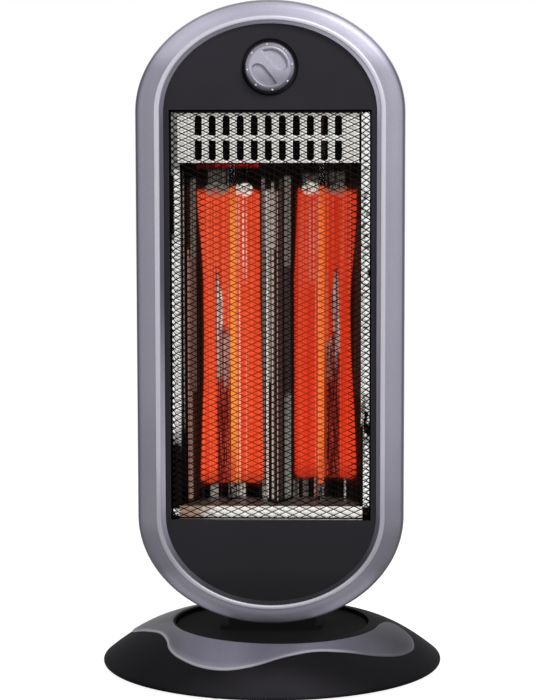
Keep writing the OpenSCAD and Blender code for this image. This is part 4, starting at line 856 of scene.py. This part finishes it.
def dome(steps):
    """The dome's section of (r, z) points, turned about the z axis."""
    lip = 0.3
    profile = [(HUB_HOLE, FLOOR_LOW), (HUB_HOLE, FLOOR_TOP), (101.9, FLOOR_TOP), (RECESS, 34.6)]
    profile += [(RECESS, z) for z in (38, 42, 43.6)]
    profile += [(RECESS + lip - lip * math.cos(a), 43.95 + lip * math.sin(a)) for a in (0.5, 1.0)]
    profile += [(r, float(dome_z(r))) for r in np.linspace(RECESS + 0.7, EDGE_R, 60)]
    for a in np.radians(range(32, -61, -8)):
        profile.append((ROUND_R + EDGE_ROUND * math.cos(a), EDGE_MID + EDGE_ROUND * math.sin(a)))
    profile += [(174.5, 2.4)]
    profile += [(r, float(dome_z(r)) - DOME_WALL) for r in np.linspace(174.5, 105.5, 24)]
    profile += [(105.5, FLOOR_LOW)]
    c, s = circle(steps)
    rows = [np.stack([r * c, r * s, np.full(steps, z)], 1) for r, z in profile]
    return np.vstack(rows), grid_faces(len(profile), steps, True, True)


v, f = dome(240)
make("dome", v, f, "base", base_black, "base_cover", "black_gloss", 40)

# Silver trim: points of its edge as (x, y), which start on its inner side and pass the point TIP
WAVE = [(92, -58), (103, -36), (113, -12), (121, 8), (130, 13), (139, 5), (148, -12), (150, -34), (146, -54),
        (132, -79), (108, -98), (78, -109), (48, -118), (20, -131), (-12, -145), (-42, -147), (-70, -135),
        (-92, -113), (-103, -92), (-107, -72), (-116, -46), (-132, -21), (-149, 12), (-151, 50), (-136, 88),
        (-106, 121), (-66, 141), (-20, 142), (20, 125), (50, 97), (62, 60)]
TIP = 4
TRIM_RIGHT, TRIM_R, TRIM_THICK, TRIM_SEAT = 4.4, RECESS + 6.6, 1.5, 0.1
# distances from the trim's edges at which its rounding has points
TRIM_EDGE = np.array([0, 0.12, 0.4, 0.8, 1.4, 2.2])


def trim_inner(angle):
    """Radius of the trim's round inner edge at an angle in degrees; its middle is right of the axis."""
    a = np.radians(angle)
    return TRIM_RIGHT * np.cos(a) + np.sqrt(TRIM_R ** 2 - (TRIM_RIGHT * np.sin(a)) ** 2)


def turn(p):
    """Angle clockwise from +X, seen from above, and radius."""
    return np.degrees(np.unwrap(-np.arctan2(p[:, 1], p[:, 0]))), np.hypot(p[:, 0], p[:, 1])


def trim_edges():
    """Angles round the base, closer together at both ends, and the trim's inner and outer radius there."""
    outer_a, outer_r = turn(spline(WAVE[TIP:], 12))
    inner_a, inner_r = turn(spline(WAVE[TIP::-1], 12))
    end = outer_a[np.argmax((outer_r < trim_inner(outer_a)) & (outer_a > 200))]
    close = (end - outer_a[0]) * (1 - np.cos(np.linspace(0, np.pi, 60))) * 0.01
    even = np.linspace(outer_a[0], end, 420)[9:-9]
    angles = np.unique(np.round(np.concatenate([outer_a[0] + close, even, end - close[::-1]]), 3))
    r_in = np.maximum(trim_inner(angles), np.interp(angles, inner_a, inner_r, right=0))
    return angles, r_in, np.maximum(np.interp(angles, outer_a, outer_r), r_in + 0.05)


def trim_row(angle, r_in, r_out):
    """Points across the trim at an angle, rounded at both edges."""
    a, w, reach = np.radians(-angle), r_out - r_in, TRIM_EDGE[-1]
    k = min(1.0, w / (2 * reach + 0.5))
    flat = np.linspace(reach * k, w - reach * k, 8)[1:-1]
    s = np.concatenate([TRIM_EDGE * k, flat, w - TRIM_EDGE[::-1] * k])
    near = np.minimum(s, w - s) / (reach * max(k, 1e-3))
    h = TRIM_THICK * max(k, 0.3) * np.sqrt(np.clip(1 - (1 - np.clip(near, 0, 1)) ** 2, 0, 1))
    r = r_in + s
    return np.stack([r * np.cos(a), r * np.sin(a), dome_z(r) + TRIM_SEAT + h], 1)


def trim():
    top = np.array([trim_row(*edges) for edges in zip(*trim_edges())])
    n_a, n_s = top.shape[:2]
    under = top[:, 1:-1].copy()
    under[:, :, 2] = dome_z(np.hypot(under[:, :, 0], under[:, :, 1])) + TRIM_SEAT
    faces = grid_faces(n_a, n_s)

    def low(i, j):
        """Index of the underside's point, whose rims are the top's own."""
        return i * n_s + j if j in (0, n_s - 1) else n_a * n_s + i * (n_s - 2) + j - 1

    for i in range(n_a - 1):
        faces += [(low(i, j), low(i, j + 1), low(i + 1, j + 1), low(i + 1, j)) for j in range(n_s - 1)]
    for i in (0, n_a - 1):
        faces.append([i * n_s + j for j in range(n_s)] + [low(i, j) for j in range(n_s - 2, 0, -1)])
    # zone 1 on the raised outer edge, where the material paints a highlight
    zones = np.zeros((n_a, n_s))
    zones[:, -6:-1] = (0.3, 1.0, 1.0, 1.0, 0.6)
    return (np.vstack([top.reshape(-1, 3), under.reshape(-1, 3)]), faces,
            np.concatenate([zones.ravel(), np.zeros(n_a * (n_s - 2))]))


v, f, zones = trim()
mark_zone(make("trim_wave", v, f, "base", trim_silver, "base_trim", "silver_paint", 60), zones)

# Guard net: strands on a sheet that is folded back at both sides, edge strips and a flat frame behind it.
# Seen from above the sheet runs from hem to fold to fold to hem; u counts along it from the left fold.
NET_Y, HEM_X, HEM_Y = -35.2, 102.6, -25.6
STRAND_W, STRAND_T, STRAND_TILT, STRAND_OVER = 0.86, 0.5, 28, 0.25
BORDER_W, BORDER_T = 1.6, 0.8
RIM_X, RIM_Z, RIM_Y = (102.4, 115.2), (147.3, 160.6, 582.4, 595.7), (-26.0, -25.2)
BOX_FACES = [(0, 1, 2, 3), (7, 6, 5, 4), (0, 4, 5, 1), (1, 5, 6, 2), (2, 6, 7, 3), (3, 7, 4, 0)]
SHEET_X, SHEET_Y = (-HEM_X, GUARD_LEFT, GUARD_RIGHT, HEM_X), (HEM_Y, NET_Y, NET_Y, HEM_Y)
FOLDED = [math.hypot(HEM_X - x, HEM_Y - NET_Y) for x in (-GUARD_LEFT, GUARD_RIGHT)]
SHEET_U = (-FOLDED[0], 0, GUARD_RIGHT - GUARD_LEFT, GUARD_RIGHT - GUARD_LEFT + FOLDED[1])


def strip(p, q, across, normal, w, t):
    """Corners of a strip from p to q, w wide along across and t thick along normal."""
    a, n = across * w / 2, normal * t / 2
    return [p - a - n, p + a - n, p + a + n, p - a + n, q - a - n, q + a - n, q + a + n, q - a + n]


def on_sheet(u, z):
    return np.array([np.interp(u, SHEET_U, SHEET_X), np.interp(u, SHEET_U, SHEET_Y), z])


def sheet_normal(u):
    d = on_sheet(u + 0.01, 0) - on_sheet(u - 0.01, 0)
    return np.array([d[1], -d[0], 0]) / np.linalg.norm(d)


def strand(i, j, way):
    """The strand from column i to the next, from row j up or down; None where the sheet has ended."""
    u_a, u_b = i * NET_DX, (i + 1) * NET_DX
    z_a, z_b = GUARD_BOTTOM + j * NET_DZ, GUARD_BOTTOM + (j + way) * NET_DZ
    lo_u, hi_u = SHEET_U[0], SHEET_U[-1]
    if u_b <= lo_u or u_a >= hi_u:
        return None
    if u_a < lo_u:
        z_a, u_a = z_a + (z_b - z_a) * (lo_u - u_a) / NET_DX, lo_u
    if u_b > hi_u:
        z_b, u_b = z_b - (z_b - z_a) * (u_b - hi_u) / NET_DX, hi_u
    p, q, normal = on_sheet(u_a, z_a), on_sheet(u_b, z_b), sheet_normal((u_a + u_b) / 2)
    d = (q - p) / np.linalg.norm(q - p)
    tilt = math.radians(STRAND_TILT * way)
    a = np.cross(normal, d) * math.cos(tilt) + normal * math.sin(tilt)
    return strip(p - d * STRAND_OVER, q + d * STRAND_OVER, a, np.cross(d, a), STRAND_W, STRAND_T)


def guard():
    boxes = [strand(i, j, way) for i in range(-2, NET_COLS + 2) for j in range(NET_ROWS + 1)
             for way in (-1, 1) if (i + j) % 2 == 0 and 0 <= j + way <= NET_ROWS]
    boxes = [box for box in boxes if box]
    upward = np.array([0, 0, 1])
    for z in (GUARD_BOTTOM, GUARD_TOP):
        for u_a, u_b in zip(SHEET_U, SHEET_U[1:]):
            ends = on_sheet(u_a, z), on_sheet(u_b, z)
            boxes.append(strip(*ends, upward, sheet_normal((u_a + u_b) / 2), BORDER_W, BORDER_T))
    x_in, x_out = RIM_X
    for x_a, x_b, z_a, z_b in ((-x_out, -x_in, RIM_Z[0], RIM_Z[3]), (x_in, x_out, RIM_Z[0], RIM_Z[3]),
                               (-x_in, x_in, RIM_Z[0], RIM_Z[1]), (-x_in, x_in, RIM_Z[2], RIM_Z[3])):
        corners = ((x_a, z_a), (x_b, z_a), (x_b, z_b), (x_a, z_b))
        boxes.append([(x, y, z) for y in RIM_Y for x, z in corners])
    faces = [tuple(8 * k + i for i in q) for k in range(len(boxes)) for q in BOX_FACES]
    return np.vstack(boxes), faces


v, f = guard()
make("guard_net", v, f, "heater", net_black, "guard_mesh", "guard_black", 30)

# Troughs: parabolas round the tubes that end in straight flanks
VERTEX_Y, FOCUS, CURVE, HALF, SLOPE, SHEET_T = 30.0, 16.0, 30.0, 46.1, 2.0, 0.8
TROUGH_Z = (172.4, 529.8)


def trough(axis):
    xs = np.concatenate([[-HALF], np.linspace(-CURVE, CURVE, 81), [HALF]])
    out = np.abs(xs)
    curved = out <= CURVE
    flank = VERTEX_Y - CURVE * CURVE / 4 / FOCUS - (out - CURVE) * SLOPE
    y_front = np.where(curved, VERTEX_Y - out * out / 4 / FOCUS, flank)
    y_back = y_front + SHEET_T * np.sqrt(1 + np.where(curved, out / 2 / FOCUS, SLOPE) ** 2)
    v = []
    for z in TROUGH_Z:
        v += [(axis + x, y, z) for x, y in zip(xs, y_front)]
        v += [(axis + x, y, z) for x, y in zip(xs[::-1], y_back[::-1])]
    n = 2 * len(xs)
    f = [(j, (j + 1) % n, n + (j + 1) % n, n + j) for j in range(n)]
    for j in range(len(xs) - 1):
        f.append((n - 1 - j, n - 2 - j, j + 1, j))
        f.append((n + j, n + j + 1, 2 * n - 2 - j, 2 * n - 1 - j))
    return v, f


for side, axis, mat in zip(("left", "right"), TUBE_X, troughs):
    make("trough_" + side, *trough(axis), "heater", mat, "reflector_" + side, "bright_sheet", 40)

# Carbon: a twisted cord with a sleeve at each end, and its two leads
CORD_Z, SLEEVE_Z, CORD_R, SLEEVE_MORE, TWIST_DEEP = (174.2, 512.2), (190, 504), 2.8, 0.6, 0.35
CORD_RINGS, CORD_ROUND = 260, 24
LEADS_Z, LEAD_R, LEAD_ROUND = ((166.5, 174.2), (512.2, 546.0)), 0.9, 12


def tube(start, rings, around):
    """Faces of a closed tube whose rings begin at a point."""
    last = start + (rings - 1) * around
    ends = [range(first, first + around) for first in (start, last)]
    return grid_faces(rings, around, False, True, start) + ends


def carbon(axis):
    v = []
    for z in np.linspace(*CORD_Z, CORD_RINGS):
        for a in 2 * np.pi * np.arange(CORD_ROUND) / CORD_ROUND:
            r = CORD_R + SLEEVE_MORE
            if SLEEVE_Z[0] <= z <= SLEEVE_Z[1]:
                r = CORD_R - TWIST_DEEP * (0.5 - 0.5 * math.cos(4 * a + z * 0.9))
            v.append((axis + r * math.cos(a), TUBE_Y + r * math.sin(a), z))
    f = tube(0, CORD_RINGS, CORD_ROUND)
    c, s = circle(LEAD_ROUND)
    for lead in LEADS_Z:
        f += tube(len(v), 2, LEAD_ROUND)
        v += [(axis + LEAD_R * c[k], TUBE_Y + LEAD_R * s[k], z) for z in lead for k in range(LEAD_ROUND)]
    return v, f


for side, axis, mat in zip(("left", "right"), TUBE_X, carbons):
    make("carbon_" + side, *carbon(axis), "heater", mat, "filament_" + side, "glowing_carbon", 45)

# Control knob: heights over a disc; places on it are shares of its radius
KNOB_R, KNOB_FRONT, KNOB_REAR, KNOB_STEPS = 25.0, -47.0, -33.3, 336
HOLLOW_DEEP, BEAD_HIGH, PIP_HIGH, RIM_FALL, EDGE_FALL = 3.2, 0.6, 1.2, 1.1, 1.6
BEAD_AT, RIM_AT, PIP_AT, PIP_SIZE, PIPS, FIRST_PIP = 0.8, 0.86, 0.925, 0.052, 8, 7
BAR_SIDE = [(-0.3, 0.66), (-0.14, 0.406), (0.037, 0.19), (0.19, 0.0), (0.33, -0.11), (0.52, -0.155),
            (0.68, -0.08), (0.755, 0.03)]


def knob_hollow():
    """Outline of one D-shaped hollow: the curved side of the bar, then an arc."""
    a_0, a_1 = (math.atan2(BAR_SIDE[k][1], BAR_SIDE[k][0]) for k in (-1, 0))
    arc = [(0.745 * math.cos(a), 0.745 * math.sin(a)) for a in np.linspace(a_0, a_1, 40)]
    return np.vstack([spline(BAR_SIDE, 8), arc])


def inside(ring_points, px, py):
    """Distance of the points from a closed outline, negative outside it."""
    best = np.full(px.shape, 9.0)
    within = np.zeros(px.shape, bool)
    for (ax, ay), (bx, by) in zip(ring_points, np.roll(ring_points, -1, 0)):
        dx, dy = bx - ax, by - ay
        length = dx * dx + dy * dy
        if length < 1e-12:
            continue
        t = np.clip(((px - ax) * dx + (py - ay) * dy) / length, 0, 1)
        best = np.minimum(best, np.hypot(px - ax - t * dx, py - ay - t * dy))
        within ^= ((ay > py) != (by > py)) & (px < dx * (py - ay) / (dy + 1e-15) + ax)
    return np.where(within, best, -best)


def knob_relief(gx, gy):
    """Heights over the disc and how much of a pip each point is."""
    hollow = knob_hollow()
    rr, aa = np.hypot(gx, gy), np.degrees(np.arctan2(gy, gx)) % 360
    wall = np.clip((np.maximum(inside(hollow, gx, gy), inside(hollow, -gx, -gy)) + 0.01) / 0.085, 0, 1)
    h = -HOLLOW_DEEP * (wall * wall * (3 - 2 * wall))
    turned = np.minimum(*(np.abs((aa - mid + 180) % 360 - 180) for mid in (58, 238)))
    near = np.clip(1 - np.maximum(0, turned - 52) / 12, 0, 1)
    h += BEAD_HIGH * np.exp(-((rr - BEAD_AT) / 0.028) ** 2) * near
    h -= RIM_FALL * np.clip((rr - RIM_AT) / 0.14, 0, 1) ** 2
    pips = np.zeros_like(rr)
    for k in range(PIPS):
        t = math.radians(FIRST_PIP + 360 / PIPS * k)
        q = np.hypot(gx - PIP_AT * math.cos(t), gy - PIP_AT * math.sin(t))
        pips = np.maximum(pips, np.clip(1 - (q / PIP_SIZE) ** 2, 0, 1))
    h += PIP_HIGH * pips + 0.5 * np.clip(1 - (rr / 0.8) ** 2, 0, 1)
    h -= EDGE_FALL * (1 - np.sqrt(np.clip(1 - np.clip((rr - 0.944) / 0.056, 0, 1) ** 2, 0, 1)))
    return np.minimum(h - 0.8, 0.0), pips


def knob():
    """The knob's relief, its side and its hollow rear."""
    radii = np.concatenate([np.linspace(0, 23.6, 78), [24.1, 24.5, 24.8, 24.95, KNOB_R]])
    n = KNOB_STEPS
    c, s = circle(n)
    gx, gy = np.outer(radii, c) / KNOB_R, np.outer(radii, s) / KNOB_R
    h, pips = knob_relief(gx, gy)
    face = np.stack([gx * KNOB_R, KNOB_FRONT - h, gy * KNOB_R], 2)
    v = [face[0, :1], face[1:].reshape(-1, 3)]
    o = 1 + (len(radii) - 1) * n
    turned = ((KNOB_R, -42.0), (KNOB_R, KNOB_REAR), (22.5, KNOB_REAR), (22.5, -40.5), (6.5, -40.5),
              (6.5, -35.8), (3.05, -35.8), (3.05, -40.4))
    v += [np.stack([r * c, np.full(n, y), r * s], 1) for r, y in turned]
    f = [(0, 1 + (j + 1) % n, 1 + j) for j in range(n)]
    f += grid_faces(len(radii) - 1 + len(turned), n, False, True, 1)
    f.append(tuple(o + (len(turned) - 1) * n + j for j in range(n)))
    v = np.vstack(v) + (0, 0, KNOB_Z)
    # zones that the knob's material reads: 1 on the rim, with its painted shade, 2 on the pips
    zones = np.ones(len(v))
    zones[0] = 0
    rim = np.clip((np.hypot(gx, gy) - BEAD_AT) / 0.1, 0, 1)
    zones[1:o] = (rim + np.clip(pips * 2, 0, 1))[1:].ravel()
    return v, f, zones


v, f, zones = knob()
mark_zone(make("knob_cap", v, f, "knob", knob_silver, "control_knob", "silver_paint", 50), zones)

# Stage and light, in metres
FLOOR_HALF, FLOOR_GREY, FLOOR_GLOW = 60, (0.32, 0.32, 0.32, 1), 0.905
WHITE_LIGHT = (1, 1, 1, 1)
WORLD_LIGHT, WORLD_SEEN = 0.3, 1.0


def seen(tree):
    """1 for rays from the camera, from glossy faces and through glass, which meet a white room."""
    path = tree.nodes.new("ShaderNodeLightPath")
    value = path.outputs["Is Camera Ray"]
    for ray in ("Is Glossy Ray", "Is Transmission Ray"):
        either = tree.nodes.new("ShaderNodeMath")
        either.operation = "MAXIMUM"
        tree.links.new(value, either.inputs[0])
        tree.links.new(path.outputs[ray], either.inputs[1])
        value = either.outputs[0]
    return value


def white_world():
    world = bpy.data.worlds.new("world")
    scene.world = world
    world.use_nodes = True
    tree = world.node_tree
    strength = tree.nodes.new("ShaderNodeMapRange")
    tree.links.new(seen(tree), strength.inputs[0])
    strength.inputs[3].default_value = WORLD_LIGHT
    strength.inputs[4].default_value = WORLD_SEEN
    background = tree.nodes["Background"]
    background.inputs["Color"].default_value = WHITE_LIGHT
    tree.links.new(strength.outputs[0], background.inputs["Strength"])


def area(name, place, target, size, power):
    """A rectangular lamp that looks at its target."""
    d = bpy.data.lights.new(name, "AREA")
    d.shape = "RECTANGLE"
    d.size, d.size_y = size
    d.energy = power
    o = bpy.data.objects.new(name, d)
    o.location = place
    o.rotation_euler = (Vector(target) - Vector(place)).to_track_quat("-Z", "Y").to_euler()
    scene.collection.objects.link(o)


floor_me = bpy.data.meshes.new("floor")
corners = [(x * FLOOR_HALF, y * FLOOR_HALF, 0) for x, y in ((-1, -1), (1, -1), (1, 1), (-1, 1))]
floor_me.from_pydata(corners, [], [(0, 1, 2, 3)])
floor = bpy.data.objects.new("floor", floor_me)
scene.collection.objects.link(floor)
fm = Mat("floor_white")
fm.set(Base_Color=FLOOR_GREY, Roughness=0.9, Specular_IOR_Level=0.0, Emission_Color=WHITE_LIGHT,
       Emission_Strength=fm.mul(seen(fm.tree), FLOOR_GLOW))
floor_me.materials.append(fm.mat)
white_world()
area("key", (0.62, -1.05, 1.5), (0, 0, 0.5), (0.55, 0.55), 26)
area("fill", (-1.8, -1.8, 0.9), (0, 0, 0.4), (1.2, 1.6), 13)
area("top", (0.0, 0.4, 2.4), (0, 0, 0.4), (1.6, 1.0), 6)
